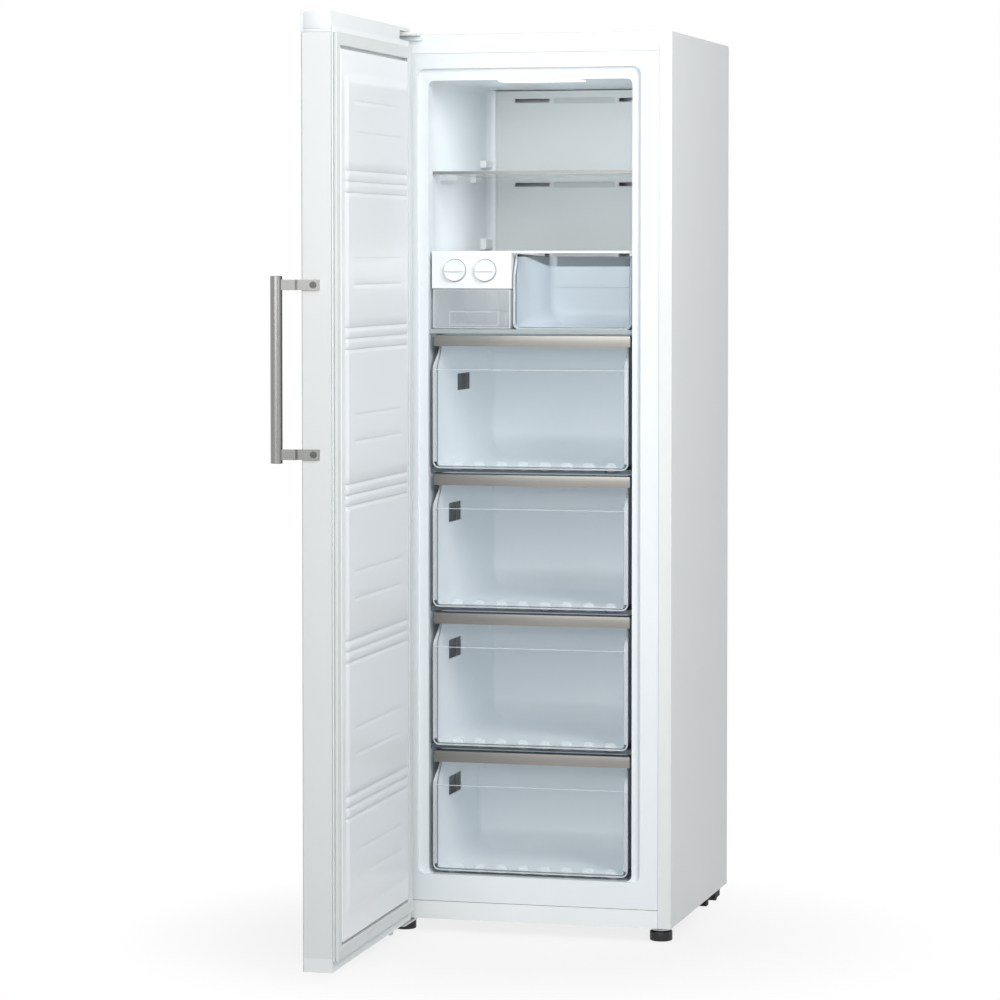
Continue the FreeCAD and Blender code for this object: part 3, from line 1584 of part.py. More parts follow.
def fan_blade(turn, middle):
    """One flat blade, pitched about its own radius and turned to its place round the hub."""
    chord = number("fan_depth - 2") / 0.6
    reach = number("fan_radius") - number("fan_hub") + 3
    thick = number("fan_blade")
    shape = Part.makeBox(chord, thick, reach, FreeCAD.Vector(-chord / 2, -thick / 2, number("fan_hub") - 3))
    shape.rotate(FreeCAD.Vector(), AXES["Z"], number("fan_pitch"))
    shape.rotate(FreeCAD.Vector(), AXES["Y"], turn)
    item = doc.addObject("Part::Feature", "fan_blade")
    item.Shape = shape
    bind(item, ".Placement.Base.y", middle)
    bind(item, ".Placement.Base.z", "fan_height")
    return item


def make_lamp():
    cover = block(
        "lamp_block",
        ("0 - lamp_left", "lamp_right"),
        ("step_depth + lamp_from_front", "step_depth + lamp_from_front + lamp_depth"),
        ("ceiling - lamp_thickness", "ceiling"),
    )
    edges = {"z": ["ceiling - lamp_thickness"]}
    keep("lamp_cover", soften("lamp_cover", cover, "lamp_thickness / 2", "X", **edges))


# ---- machine room ----


def make_compressor():
    """Domed pot on a foot plate, on four rubber grommets."""
    across = "compressor_x"
    along = "(room_front + cabinet_depth) / 2 - 3"
    plate_low = "floor_top + compressor_foot"
    pot = body("compressor")
    legs = [
        (f"{across} - grommet_reach - grommet_radius", f"{along} - grommet_span - grommet_radius + 1"),
        (f"{across} + grommet_reach + grommet_radius", f"{along} - grommet_span - grommet_radius + 1"),
        (f"{across} + grommet_reach + grommet_radius", f"{along} + grommet_span + grommet_radius - 1"),
        (f"{across} - grommet_reach - grommet_radius", f"{along} + grommet_span + grommet_radius - 1"),
    ]
    pad(pot, "XY", plate_low, [legs], "base_plate * 2")
    pad(pot, "XY", plate_low, [ring(across, along, "compressor_radius")], "compressor_height")
    ease(pot, "Fillet", "Radius", "compressor_radius / 2", f"{plate_low} + compressor_height")

    pads = []
    for column in ("-", "+"):
        for place in ("-", "+"):
            at = (f"{across} {column} grommet_reach", f"{along} {place} grommet_span")
            name = "grommet_" + ("left" if column == "-" else "right") + ("_front" if place == "-" else "_rear")
            rubber = rod(name, "Z", at, "grommet_radius", ("floor_top", plate_low))
            bore = rod(name + "_bore", "Z", at, "grommet_bore", ("floor_top - 1", plate_low + " + 1"))
            pads.append(cut(name + "_ring", rubber, bore))
    keep("compressor_feet", group("compressor_feet", *pads))

    crown_top = f"{plate_low} + compressor_height"
    low = f"{crown_top} + tray_top_gap"
    make_open_box(
        "drain_tray",
        (f"{across} - drain_half_width", f"{across} + drain_half_width"),
        (f"{along} - drain_half_depth", f"{along} + drain_half_depth"),
        (low, f"{low} + drain_height"),
        "drain_wall",
        "drain_wall * 4",
    )


def bent_pipe(name, points, radius, bend):
    """A round pipe along straight runs joined by quarter bends of one radius."""
    edges = []
    start = points[0]
    for here, after in zip(points[1:-1], points[2:]):
        before = (start - here).normalize()
        onward = (after - here).normalize()
        enter = here + before * bend
        leave = here + onward * bend
        middle = here + (before + onward) * (bend * (1 - 0.5**0.5))
        edges.append(Part.LineSegment(start, enter).toShape())
        edges.append(Part.Arc(enter, middle, leave).toShape())
        start = leave
    edges.append(Part.LineSegment(start, points[-1]).toShape())
    wire = Part.Wire(edges)
    heading = (points[1] - points[0]).normalize()
    section = Part.Wire([Part.Circle(points[0], heading, radius).toShape()])
    item = doc.addObject("Part::Feature", name)
    item.Shape = wire.makePipeShell([section], True, False)
    return item


def make_pipes():
    """Suction and discharge pipes from the compressor's side to the machine room's front wall."""
    along = number("(room_front + cabinet_depth) / 2 - 3")
    low = number("floor_top + compressor_foot")
    wall = number("room_front")
    side = number("compressor_x - compressor_radius")
    pipes = []
    for name, height, run in (("suction", 40, 1.0), ("discharge", 62, 1.9)):
        start = FreeCAD.Vector(side - number("fit_gap"), along, low + height)
        out = FreeCAD.Vector(side - number("pipe_run") * run, along, low + height)
        up = out + FreeCAD.Vector(0, 0, number("pipe_rise") - height / 2)
        end = FreeCAD.Vector(up.x, wall, up.z)
        pipes.append(bent_pipe("pipe_" + name, [start, out, up, end], number("pipe_radius"), number("pipe_bend")))
    keep("refrigerant_pipes", group("refrigerant_pipes", *pipes))


def make_inlet():
    """Gland on an upright plate at the rear, where the mains lead enters."""
    at = ("inlet_x", "floor_top + inlet_height")
    back = "cabinet_depth - 8"
    plate = block(
        "inlet_plate_block",
        ("inlet_x - inlet_radius * 2", "inlet_x + inlet_radius * 2"),
        (f"{back} - inlet_plate", back),
        ("floor_top", "floor_top + inlet_height + inlet_radius * 2"),
    )
    gland = rod("inlet_gland", "Y", at, "inlet_radius", (f"{back} - inlet_length", "cabinet_depth - 2"))
    bore = rod("inlet_bore", "Y", at, "inlet_radius / 2", ("cabinet_depth - 20", "cabinet_depth"))
    keep("power_inlet", cut("power_inlet", fuse("inlet_solid", plate, gland), bore))


# ---- the whole ----

for number_of_drawer in (1, 2, 3, 4):
    PLACES[f"drawer_top_{number_of_drawer}"] = f"first_top - {number_of_drawer - 1} * drawer_pitch"
    PLACES[f"drawer_floor_{number_of_drawer}"] = f"drawer_top_{number_of_drawer} - drawer_height"
PLACES["drawer_floor_4"] = "sill + low_drawer_lift"

make_wrapper()
make_liner()
make_foam()
make_base()
make_shell_trim()
make_hinges()
make_duct_panel()
make_evaporator()
make_heater()
make_fan()
make_lamp()
make_compressor()
make_pipes()
make_inlet()
make_shelves()
make_rails()
make_shelf_brackets()
make_drawers()
make_ice_maker()
make_small_boxes()
make_feet()
make_rollers()
make_door_skin()
make_door_liner()
make_door_foam()
make_gasket()
make_door_caps()
make_hinge_bushes()
make_handle()
for door_piece in (
    "door_skin",
    "door_liner",
    "door_foam",
    "door_gasket",
    "door_top_cap",
    "door_bottom_cap",
    "hinge_bushes",
    "handle_bar",
    "handle_brackets",
    "handle_screws",
):
    swing(door_piece)

doc.recompute()
for item in doc.Objects:
    if "Invalid" in item.State or "Error" in item.State:
        raise ValueError(f"{item.Name} did not build: {item.State}")
for label, item in NODES.items():
    if item.Shape.isNull() or not item.Shape.isValid():
        raise ValueError(f"{label} has no sound shape")

os.makedirs("parts", exist_ok=True)
for label, item in NODES.items():
    item.Shape.exportStep(f"parts/{label}.step")
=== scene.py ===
import math

import bmesh
import bpy
from mathutils import Matrix, Vector


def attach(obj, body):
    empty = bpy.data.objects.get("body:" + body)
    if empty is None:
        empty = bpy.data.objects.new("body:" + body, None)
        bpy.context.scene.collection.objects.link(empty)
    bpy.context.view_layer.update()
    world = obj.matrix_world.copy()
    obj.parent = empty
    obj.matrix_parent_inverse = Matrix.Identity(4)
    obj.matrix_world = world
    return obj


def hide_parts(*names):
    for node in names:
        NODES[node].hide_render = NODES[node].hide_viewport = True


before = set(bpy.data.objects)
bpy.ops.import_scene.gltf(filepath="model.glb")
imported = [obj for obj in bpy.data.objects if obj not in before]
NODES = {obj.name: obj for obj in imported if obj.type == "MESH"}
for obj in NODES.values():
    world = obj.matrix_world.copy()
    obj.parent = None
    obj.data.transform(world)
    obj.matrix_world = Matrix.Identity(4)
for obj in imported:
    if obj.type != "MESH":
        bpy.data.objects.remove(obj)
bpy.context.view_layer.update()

# An upright freezer with its door swung open. Lengths below are in millimetres and become metres where a
# mesh is made. X runs to the right, Y to the rear and Z up, from the floor under the middle of the
# cabinet's front.

MM = 0.001


# ---- small tools ----


def add(tree, kind, inputs=None, **settings):
    """One node of a shader or geometry tree, with its settings, values and links."""
    made = tree.nodes.new(kind)
    for name, value in settings.items():
        setattr(made, name, value)
    for name, value in (inputs or {}).items():
        if isinstance(value, bpy.types.NodeSocket):
            tree.links.new(value, made.inputs[name])
        else:
            made.inputs[name].default_value = value
    return made


def linear(code):
    """An sRGB hex colour as linear red, green, blue and alpha."""
    channels = [int(code[i : i + 2], 16) / 255 for i in (0, 2, 4)]
    return tuple(c / 12.92 if c <= 0.04045 else ((c + 0.055) / 1.055) ** 2.4 for c in channels) + (1.0,)


def start_material(name):
    """An empty material with its output and a Principled shader joined to it."""
    made = bpy.data.materials.new(name)
    made.use_nodes = True
    tree = made.node_tree
    tree.nodes.clear()
    shader = add(tree, "ShaderNodeBsdfPrincipled")
    add(tree, "ShaderNodeOutputMaterial", {"Surface": shader.outputs["BSDF"]})
    return made, tree, shader


def spread(tree, pattern, low, high):
    """A pattern from 0 to 1 brought to a range."""
    ranged = add(tree, "ShaderNodeMapRange", {"Value": pattern, "To Min": low, "To Max": high})
    return ranged.outputs["Result"]


def noise(tree, place, size_mm, detail=2.0):
    """Noise whose blots are about size_mm across."""
    made = add(tree, "ShaderNodeTexNoise", {"Vector": place, "Scale": 1 / (size_mm * MM), "Detail": detail})
    return made.outputs["Fac"]


def surface(name, light, dark, roughness, mottle_mm, grain_mm, grain_depth_mm, roughness_swing=0.04, **fixed):
    """A plain finish: two close colours that drift into each other, an uneven gloss and a fine grain."""
    made, tree, shader = start_material(name)
    place = add(tree, "ShaderNodeTexCoord").outputs["Object"]
    drift = noise(tree, place, mottle_mm)
    colour = add(tree, "ShaderNodeMix", {0: drift, 6: linear(dark), 7: linear(light)}, data_type="RGBA")
    tree.links.new(colour.outputs[2], shader.inputs["Base Color"])
    blots = noise(tree, place, mottle_mm / 3)
    gloss = spread(tree, blots, roughness - roughness_swing, roughness + roughness_swing)
    tree.links.new(gloss, shader.inputs["Roughness"])
    bump = add(
        tree,
        "ShaderNodeBump",
        {"Height": noise(tree, place, grain_mm, 1.0), "Strength": 1.0, "Distance": grain_depth_mm * MM},
    )
    tree.links.new(bump.outputs["Normal"], shader.inputs["Normal"])
    for socket, value in fixed.items():
        shader.inputs[socket.replace("_", " ")].default_value = value
    return made


# How much the gloss of a brushed metal swings from stroke to stroke, and how deep a stroke is.
STROKE_SWING = 0.07
STROKE_DEPTH = 0.02


def brushed(name, light, dark, roughness, along, stroke_mm, stroke_length_mm):
    """A metal rubbed along one axis with belt or brush: fine strokes that stretch its reflections."""
    made, tree, shader = start_material(name)
    place = add(tree, "ShaderNodeTexCoord").outputs["Object"]
    scale = [1 / (stroke_mm * MM)] * 3
    scale["XYZ".index(along)] = 1 / (stroke_length_mm * MM)
    stretched = add(tree, "ShaderNodeMapping", {"Vector": place, "Scale": scale}).outputs["Vector"]
    grain = {"Vector": stretched, "Scale": 1.0, "Detail": 3.0}
    strokes = add(tree, "ShaderNodeTexNoise", grain).outputs["Fac"]
    colour = add(tree, "ShaderNodeMix", {0: strokes, 6: linear(dark), 7: linear(light)}, data_type="RGBA")
    tree.links.new(colour.outputs[2], shader.inputs["Base Color"])
    gloss = spread(tree, strokes, roughness - STROKE_SWING, roughness + STROKE_SWING)
    tree.links.new(gloss, shader.inputs["Roughness"])
    bump = add(tree, "ShaderNodeBump", {"Height": strokes, "Strength": 0.35, "Distance": STROKE_DEPTH * MM})
    tree.links.new(bump.outputs["Normal"], shader.inputs["Normal"])
    shader.inputs["Metallic"].default_value = 1.0
    return made


# Colour of the painted glow that milky and clear mouldings give off evenly, standing in for the light they
# carry inside.
PAINTED_GLOW_COLOUR = "C0CCD3"
# Size of the slow waves in a clear moulding's faces and of the drift in its gloss, and the waves' depth.
WAVE_SIZE = 45
GLOSS_DRIFT = 60
WAVE_DEPTH = 0.4


def clear(name, tint, face_alpha, edge_alpha, roughness, ior=1.57, glow=0.0):
    """A see-through moulding: light passes through its faces, and its rims and slanting walls show; glow is a
    painted glow of its own.
    """
    made, tree, shader = start_material(name)
    place = add(tree, "ShaderNodeTexCoord").outputs["Object"]
    slant = add(tree, "ShaderNodeLayerWeight", {"Blend": 0.35}).outputs["Facing"]
    veil = spread(tree, slant, face_alpha, edge_alpha)
    tree.links.new(veil, shader.inputs["Alpha"])
    shader.inputs["Base Color"].default_value = linear(tint)
    shader.inputs["Emission Color"].default_value = linear(PAINTED_GLOW_COLOUR)
    shader.inputs["Emission Strength"].default_value = glow
    shader.inputs["IOR"].default_value = ior
    gloss = spread(tree, noise(tree, place, GLOSS_DRIFT), roughness, roughness + 0.08)
    tree.links.new(gloss, shader.inputs["Roughness"])
    waves = {"Height": noise(tree, place, WAVE_SIZE), "Strength": 0.4, "Distance": WAVE_DEPTH * MM}
    wave = add(tree, "ShaderNodeBump", waves)
    tree.links.new(wave.outputs["Normal"], shader.inputs["Normal"])
    return made


def finish(material, *names):
    """Give CAD nodes a material."""
    for name in names:
        slots = NODES[name].data.materials
        slots.clear()
        slots.append(material)


# ---- finishes ----

# White powder coat on folded steel: a hard, even gloss with the faint orange peel of sprayed powder.
WHITE_COAT = surface("powder_coated_steel_white", "E7EAE8", "E2E5E3", 0.34, 420, 2.6, 0.018, Coat_Weight=0.15)
# Grey powder coat for hidden sheet, a little flatter.
GREY_COAT = surface("powder_coated_steel_grey", "9DA1A2", "8F9394", 0.45, 200, 2.4, 0.02)
# Vacuum-formed polystyrene: softly glossy, and the wall thickness wanders, so the gloss does too.
DOOR_SHEET = surface("vacuum_formed_polystyrene_door", "F5F7F7", "F0F3F4", 0.3, 260, 24, 0.05, IOR=1.59)
LINER_WHITE = surface("vacuum_formed_polystyrene", "EEF2F4", "E6ECEF", 0.32, 260, 24, 0.05, IOR=1.59)
# Injection-moulded ABS, spark-eroded to a fine even mist.
ABS_WHITE = surface("moulded_abs_white", "F1F4F4", "EBEFEF", 0.42, 140, 0.9, 0.012, IOR=1.54)
# Polyurethane foam, buff and open on its cut face.
FOAM = surface("polyurethane_foam", "D9CFA8", "C8BC90", 0.95, 30, 1.6, 0.4)
# Zinc-plated steel, bright and a little blue.
ZINC = surface("zinc_plated_steel", "C3C7C9", "AEB3B6", 0.32, 18, 1.2, 0.01, Metallic=1.0)
# Screws of the handle, nickel plated and blackened.
DARK_NICKEL = surface("blackened_nickel_plate", "6A6967", "565553", 0.36, 6, 0.8, 0.01, Metallic=1.0)
# Bar of stainless steel, brushed along its length.
BAR_STEEL = brushed("brushed_stainless_bar", "A3A3A1", "7E7E7D", 0.26, "Z", 0.35, 60)
# Drawer trims: aluminium sheet brushed across the drawer and clear anodised, warm grey.
TRIM_METAL = brushed("brushed_anodised_aluminium", "989692", "85837F", 0.34, "X", 0.4, 80)
# Crystal polystyrene, moulded thin: clear with a cool cast and bright rims.
CRYSTAL = clear("crystal_polystyrene", "E6EFF4", 0.03, 0.16, 0.09)
# The same plastic with a frosted wall.
FROSTED = clear("frosted_polystyrene", "DDE6EC", 0.42, 0.8, 0.3)
# Float glass, faintly green, seen mostly in its edges.
GLASS = clear("toughened_float_glass", "D9E6EA", 0.12, 0.75, 0.03, 1.52)
# Injection-moulded ABS of the air duct, a shade greyer than the formed liner round it.
ABS_DUCT = surface("moulded_abs_duct", "E7EBEA", "E0E5E4", 0.45, 200, 0.9, 0.012, IOR=1.54)
# Satin grey edge trim of the glass shelf.
SHELF_TRIM = brushed("anodised_aluminium_edge", "8F8F8E", "7B7B7A", 0.34, "X", 0.4, 80)
# Grey ABS of small hidden mouldings.
ABS_GREY = surface("moulded_abs_grey", "8C9092", "7E8284", 0.5, 90, 0.9, 0.02)
# Black polypropylene with a leather-dull moulded face.
PP_BLACK = surface("moulded_polypropylene_black", "0C0C0D", "141516", 0.42, 60, 0.8, 0.03)
# Soft PVC of the door seal, matt light grey.
SEAL_PVC = surface("soft_pvc_seal", "E4E7E6", "DCE0DF", 0.6, 80, 1.2, 0.02)
# Enamelled pot of the compressor.
POT_BLACK = surface("stove_enamel_black", "17181A", "0F1011", 0.35, 90, 1.6, 0.02)
# Rubber of the compressor's feet and the rollers' tyres.
RUBBER = surface("moulded_rubber", "1E1F20", "151617", 0.75, 40, 0.7, 0.04)
# Drawn copper tube, dulled by handling.
COPPER = surface("drawn_copper", "B8734B", "9C5E3C", 0.34, 25, 1.5, 0.01, Metallic=1.0)
# Aluminium fins and tube of the cold coil.
COIL = surface("mill_aluminium", "B9BDC0", "A5A9AD", 0.4, 30, 1.5, 0.02, Metallic=1.0)


# Length of one wave of the lens's flutes.
FLUTE_WAVE = 40


def lamp_lens():
    """Opal lens of the ceiling lamp: frosted acrylic that glows a little of itself."""
    made, tree, shader = start_material("opal_acrylic_lens")
    place = add(tree, "ShaderNodeTexCoord").outputs["Object"]
    shader.inputs["Base Color"].default_value = linear("F2F5F7")
    shader.inputs["Roughness"].default_value = 0.25
    flutes = add(
        tree,
        "ShaderNodeTexWave",
        {"Vector": place, "Scale": 1 / (FLUTE_WAVE * MM)},
        bands_direction="X",
        wave_profile="SIN",
    ).outputs["Fac"]
    bump = add(tree, "ShaderNodeBump", {"Height": flutes, "Strength": 0.6, "Distance": 0.5 * MM})
    tree.links.new(bump.outputs["Normal"], shader.inputs["Normal"])
    shader.inputs["Emission Color"].default_value = linear("F4F8FF")
    shader.inputs["Emission Strength"].default_value = 0.55
    return made


LENS = lamp_lens()

# The tubs of the drawers: the same plastic, moulded milky, so that it hides what is behind it; its glow is
# painted light, standing in for the light the plastic carries.
MILKY = clear("milky_polystyrene", "EEF3F6", 0.9, 0.95, 0.32, glow=0.2)
# Its outer face, which stands in the narrow gap beside the liner: the same plastic darkened, painted shade of
# that gap.
MILKY_OUTSIDE_SHADE = clear("milky_polystyrene_outside_shade", "A9B5BD", 0.9, 0.95, 0.35)
# The small drawer is moulded thinner, and the light of the compartment reaches it from all round.
MILKY_THIN = clear("milky_polystyrene_thin", "DEE8EF", 0.82, 0.92, 0.3)
# Bucket of the ice maker: clear, with a light veil of scratches from the ice and a faint painted glow.
BUCKET_CLEAR = clear("scratched_polystyrene", "EDF3F6", 0.2, 0.5, 0.14, glow=0.1)
# A thicker, cloudier spot of it, as at the small feet under a drawer's floor, with a painted glow.
CLOUDY = clear("cloudy_polystyrene", "FAFCFD", 0.16, 0.22, 0.5, glow=0.2)
# Rims and ledges of clear mouldings catch light along their whole length: the same plastic made whiter and
# less clear, a painted highlight.
RIM_HIGHLIGHT = clear("crystal_rim_painted_highlight", "F1F6F9", 0.45, 0.8, 0.12)
# Slate grey of the dividers between the drawers and of the pads behind the hand windows: painted shade of the
# dark gaps there.
SLATE_SHADE = surface("slate_painted_shade", "606C76", "57636D", 0.45, 120, 0.9, 0.02)
# Light grey ABS of the shelf that the ice maker's bucket stands on.
ABS_PALE = surface("moulded_abs_pale_grey", "A9B2B4", "9DA7A9", 0.4, 120, 0.9, 0.02)
# Fine holes of the duct, half lit by the light that falls in.
HOLE_SHADE = surface("hole_shadow", "7F888C", "757E82", 0.9, 20, 2, 0.01)

finish(WHITE_COAT, "cabinet_wrapper", "door_skin", "top_hinge")
finish(GREY_COAT, "back_panel", "base_frame")
finish(LINER_WHITE, "inner_liner", "door_liner")
finish(ABS_WHITE, "top_cover", "kick_strip", "hinge_blank_cover", "top_hinge_cover", "door_top_cap")
finish(ABS_WHITE, "door_bottom_cap", "shelf_brackets", "drawer_runners")
finish(ABS_DUCT, "duct_panel")
finish(SHELF_TRIM, "glass_shelf_trim")
finish(ABS_WHITE, "ice_maker_housing", "ice_knob_left", "ice_knob_right", "ice_tray_left", "ice_tray_right")
finish(SLATE_SHADE, "divider_shelf_1", "divider_shelf_2", "divider_shelf_3")
finish(ABS_PALE, "deck_shelf")
finish(FOAM, "cabinet_foam", "door_foam")
finish(ZINC, "bottom_hinge")
finish(DARK_NICKEL, "handle_screws")
finish(BAR_STEEL, "handle_bar", "handle_brackets")
finish(TRIM_METAL, "drawer_1_trim", "drawer_2_trim", "drawer_3_trim", "drawer_4_trim")
finish(CRYSTAL, "drawer_1", "drawer_2", "drawer_3", "drawer_4", "ice_bucket")
finish(FROSTED, "small_drawer")
finish(GLASS, "glass_shelf", "defrost_heater")
finish(ABS_GREY, "fan_motor", "fan_rotor", "drain_tray", "hinge_bushes")
finish(PP_BLACK, "foot_left", "foot_right", "power_inlet")
finish(SEAL_PVC, "door_gasket")
finish(POT_BLACK, "compressor")
finish(RUBBER, "roller_brackets", "compressor_feet", "roller_left", "roller_right")
finish(COPPER, "refrigerant_pipes")
finish(COIL, "evaporator")
finish(LENS, "lamp_cover")


# ---- mesh tools, all in millimetres ----


def settle(name, shape, materials, body, replaced=(), sharp=35):
    """A finished piece from a mesh in millimetres: placed, shaded, finished and joined to its body."""
    bmesh.ops.remove_doubles(shape, verts=shape.verts, dist=0.002)
    bmesh.ops.recalc_face_normals(shape, faces=shape.faces)
    bmesh.ops.scale(shape, vec=(MM,) * 3, verts=shape.verts)
    mesh = bpy.data.meshes.new(name)
    shape.to_mesh(mesh)
    shape.free()
    mesh.shade_smooth()
    mesh.set_sharp_from_angle(angle=math.radians(sharp))
    for material in materials:
        mesh.materials.append(material)
    return join_body(name, mesh, body, replaced)


def join_body(name, mesh, body, replaced=()):
    made = bpy.data.objects.new(name, mesh)
    bpy.context.collection.objects.link(made)
    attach(made, body)
    if replaced:
        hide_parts(*replaced)
    return made


def stack(shape, rings, closed=True, caps=True):
    """Skin rings of points, one to the next, and close the two ends."""
    rows = [[shape.verts.new(point) for point in ring] for ring in rings]
    count = len(rows[0])
    for low, high in zip(rows, rows[1:]):
        for i in range(count if closed else count - 1):
            j = (i + 1) % count
            shape.faces.new((low[i], low[j], high[j], high[i]))
    if caps:
        shape.faces.new(rows[0][::-1])
        shape.faces.new(rows[-1])
    return rows


def rounded_plan(left, right, front, back, near_radius, far_radius, steps=4):
    """Corners of a rectangle seen from above, rounded, with its own radius at the front and at the back."""
    corners = (
        (left, front, 1, 1, near_radius, 180),
        (right, front, -1, 1, near_radius, 270),
        (right, back, -1, -1, far_radius, 0),
        (left, back, 1, -1, far_radius, 90),
    )
    points = []
    for x, y, inward_x, inward_y, radius, start in corners:
        for step in range(steps + 1):
            turn = math.radians(start + 90 * step / steps)
            points.append(
                (
                    x + inward_x * radius + radius * math.cos(turn),
                    y + inward_y * radius + radius * math.sin(turn),
                )
            )
    return points


def tube(shape, path, radius, sides=8):
    """A round bead along a path."""
    rings = []
    across = None
    for i, point in enumerate(path):
        here = Vector(point)
        ahead = Vector(path[min(i + 1, len(path) - 1)]) - Vector(path[max(i - 1, 0)])
        ahead.normalize()
        if across is None:
            across = ahead.orthogonal()
        across = (across - ahead * across.dot(ahead)).normalized()
        other = ahead.cross(across)
        turns = [2 * math.pi * k / sides for k in range(sides)]
        rings.append([here + radius * (across * math.cos(t) + other * math.sin(t)) for t in turns])
    stack(shape, rings)


def smooth_step(value):
    value = min(max(value, 0.0), 1.0)
    return value * value * (3 - 2 * value)


def slab(shape, low, high, ease=0.6):
    """A block with its edges eased."""
    made = bmesh.ops.create_cube(shape, size=1)["verts"]
    for vert in made:
        vert.co = [(low[k] + high[k]) / 2 + vert.co[k] * (high[k] - low[k]) for k in range(3)]
    edges = list({edge for vert in made for edge in vert.link_edges})
    bmesh.ops.bevel(shape, geom=edges, offset=ease, segments=2, affect="EDGES", profile=0.5)


# ---- drawers, the small drawer and the ice bucket ----

WALL = 2.5
FOOT = 8.0
REAR_SWEEP = 55.0


class Tub:
    """Sizes of one see-through tub, and the profile of its front."""

    def __init__(self, half, middle, front, back, low, high, ledge=None, lean=0.0, lip=0.0, rear_drop=0.0):
        self.left, self.right = middle - half, middle + half
        self.rear_drop = rear_drop
        self.front, self.back, self.low, self.high = front, back, low, high
        self.ledge, self.lean, self.lip = ledge, lean, lip

    def front_at(self, z):
        """Where the front stands at a height: upright to the ledge, then leaning back to the lip."""
        if self.ledge is None or z <= self.ledge:
            return self.front
        return self.front + self.lean * smooth_step((z - self.ledge) / (self.high - self.lip - self.ledge))

    def heights(self):
        """Heights of the rings above the foot's rounding, up to the rim."""
        if self.ledge is None:
            return [self.high]
        rise = self.high - self.lip - self.ledge
        leaning = [self.ledge + rise * k / 8 for k in range(1, 9)]
        return [self.ledge - 1, self.ledge + 1] + leaning + [self.high]


def mould_tub(name, tub, body, replaced, window=None, near_radius=4.0, far_radius=12.0, finishes=None):
    """Tub with rounded corners. Its floor turns up tightly at the front and in a wide sweep at the rear.
    Finishes are those of the walls, the front and the outside; the default outside finish is painted shade.
    """
    shape = bmesh.new()
    sweep = min(REAR_SWEEP, (tub.high - tub.low) / 3)

    def ring(z, inset):
        plan = rounded_plan(
            tub.left + inset,
            tub.right - inset,
            tub.front_at(z) + inset,
            tub.back - inset,
            max(near_radius - min(inset, WALL), 0.8),
            max(far_radius - min(inset, WALL), 1.0),
        )
        at_rim = z == tub.high
        half = len(plan) // 2
        return [(x, y, z - (tub.rear_drop if at_rim and i >= half else 0)) for i, (x, y) in enumerate(plan)]

    def foot(turn, wall):
        near, far = FOOT - wall, sweep - wall
        front = ring(tub.low, wall + near * (1 - math.sin(turn)))
        rear = ring(tub.low, wall + far * (1 - math.sin(turn)))
        half = len(front) // 2
        rise = 1 - math.cos(turn)
        low = tub.low + wall
        return [(x, y, low + near * rise) for x, y, z in front[:half]] + [
            (x, y, low + far * rise) for x, y, z in rear[half:]
        ]

    turns = [math.radians(90 * step / 6) for step in range(7)]
    outside = [foot(turn, 0.0) for turn in turns] + [ring(z, 0.0) for z in tub.heights()]
    inside = [ring(z, WALL) for z in tub.heights()[::-1]] + [foot(turn, WALL) for turn in turns[::-1]]
    stack(shape, outside + inside)
    shape.normal_update()
    shape.verts.index_update()
    outer = set(range(len(outside) * len(outside[0])))
    for face in shape.faces:
        middle = face.calc_center_median()
        shows_front = abs(face.normal.y) > 0.5 and middle.y < tub.front_at(middle.z) + WALL + 2
        hidden = all(vert.index in outer for vert in face.verts)
        # Outer faces take the third finish, by default the darker milky one: painted shade of the gap beside
        # the liner.
        face.material_index = 1 if shows_front else 2 if hidden else 0
    finishes = finishes or [MILKY, CRYSTAL, MILKY_OUTSIDE_SHADE]
    if window:
        shape = cut_window(shape, tub, window, finishes)
    return settle(name, shape, finishes, body, replaced, 50)


def cut_window(shape, tub, window, finishes):
    """Hand hole through both side walls of a tub."""
    near, far, low, high = window
    cutter = bmesh.new()
    slab(cutter, (tub.left - 5, near, low), (tub.right + 5, far, high), 3)
    held = []
    for number, source in enumerate((shape, cutter)):
        bmesh.ops.recalc_face_normals(source, faces=source.faces)
        mesh = bpy.data.meshes.new(f"window_step_{number}")
        source.to_mesh(mesh)
        source.free()
        held.append(bpy.data.objects.new(mesh.name, mesh))
        bpy.context.collection.objects.link(held[-1])
    for finish_of_part in finishes:
        held[0].data.materials.append(finish_of_part)
    taken = held[0].modifiers.new("window", "BOOLEAN")
    taken.object, taken.solver, taken.operation = held[1], "EXACT", "DIFFERENCE"
    cut = bpy.data.meshes.new_from_object(held[0].evaluated_get(bpy.context.evaluated_depsgraph_get()))
    done = bmesh.new()
    done.from_mesh(cut)
    for item in held:
        bpy.data.objects.remove(item)
    return done


def front_edge(tub, reach, foot_radius):
    """Outline of a drawer's front plate on one side, from the lip down to the middle of its foot: a soft
    S outwards to the ledge, then straight down and round the corner.
    """
    half = (tub.right - tub.left) / 2
    points = []
    rise = tub.high - tub.lip - tub.ledge
    for k in range(9):
        z = tub.high - tub.lip - rise * k / 8
        points.append((half + reach * smooth_step(k / 8), tub.front_at(z), z))
    for k in range(7):
        turn = math.radians(90 * k / 6)
        x = half + reach - foot_radius * (1 - math.cos(turn))
        points.append((x, tub.front, tub.low + foot_radius * (1 - math.sin(turn))))
    return points


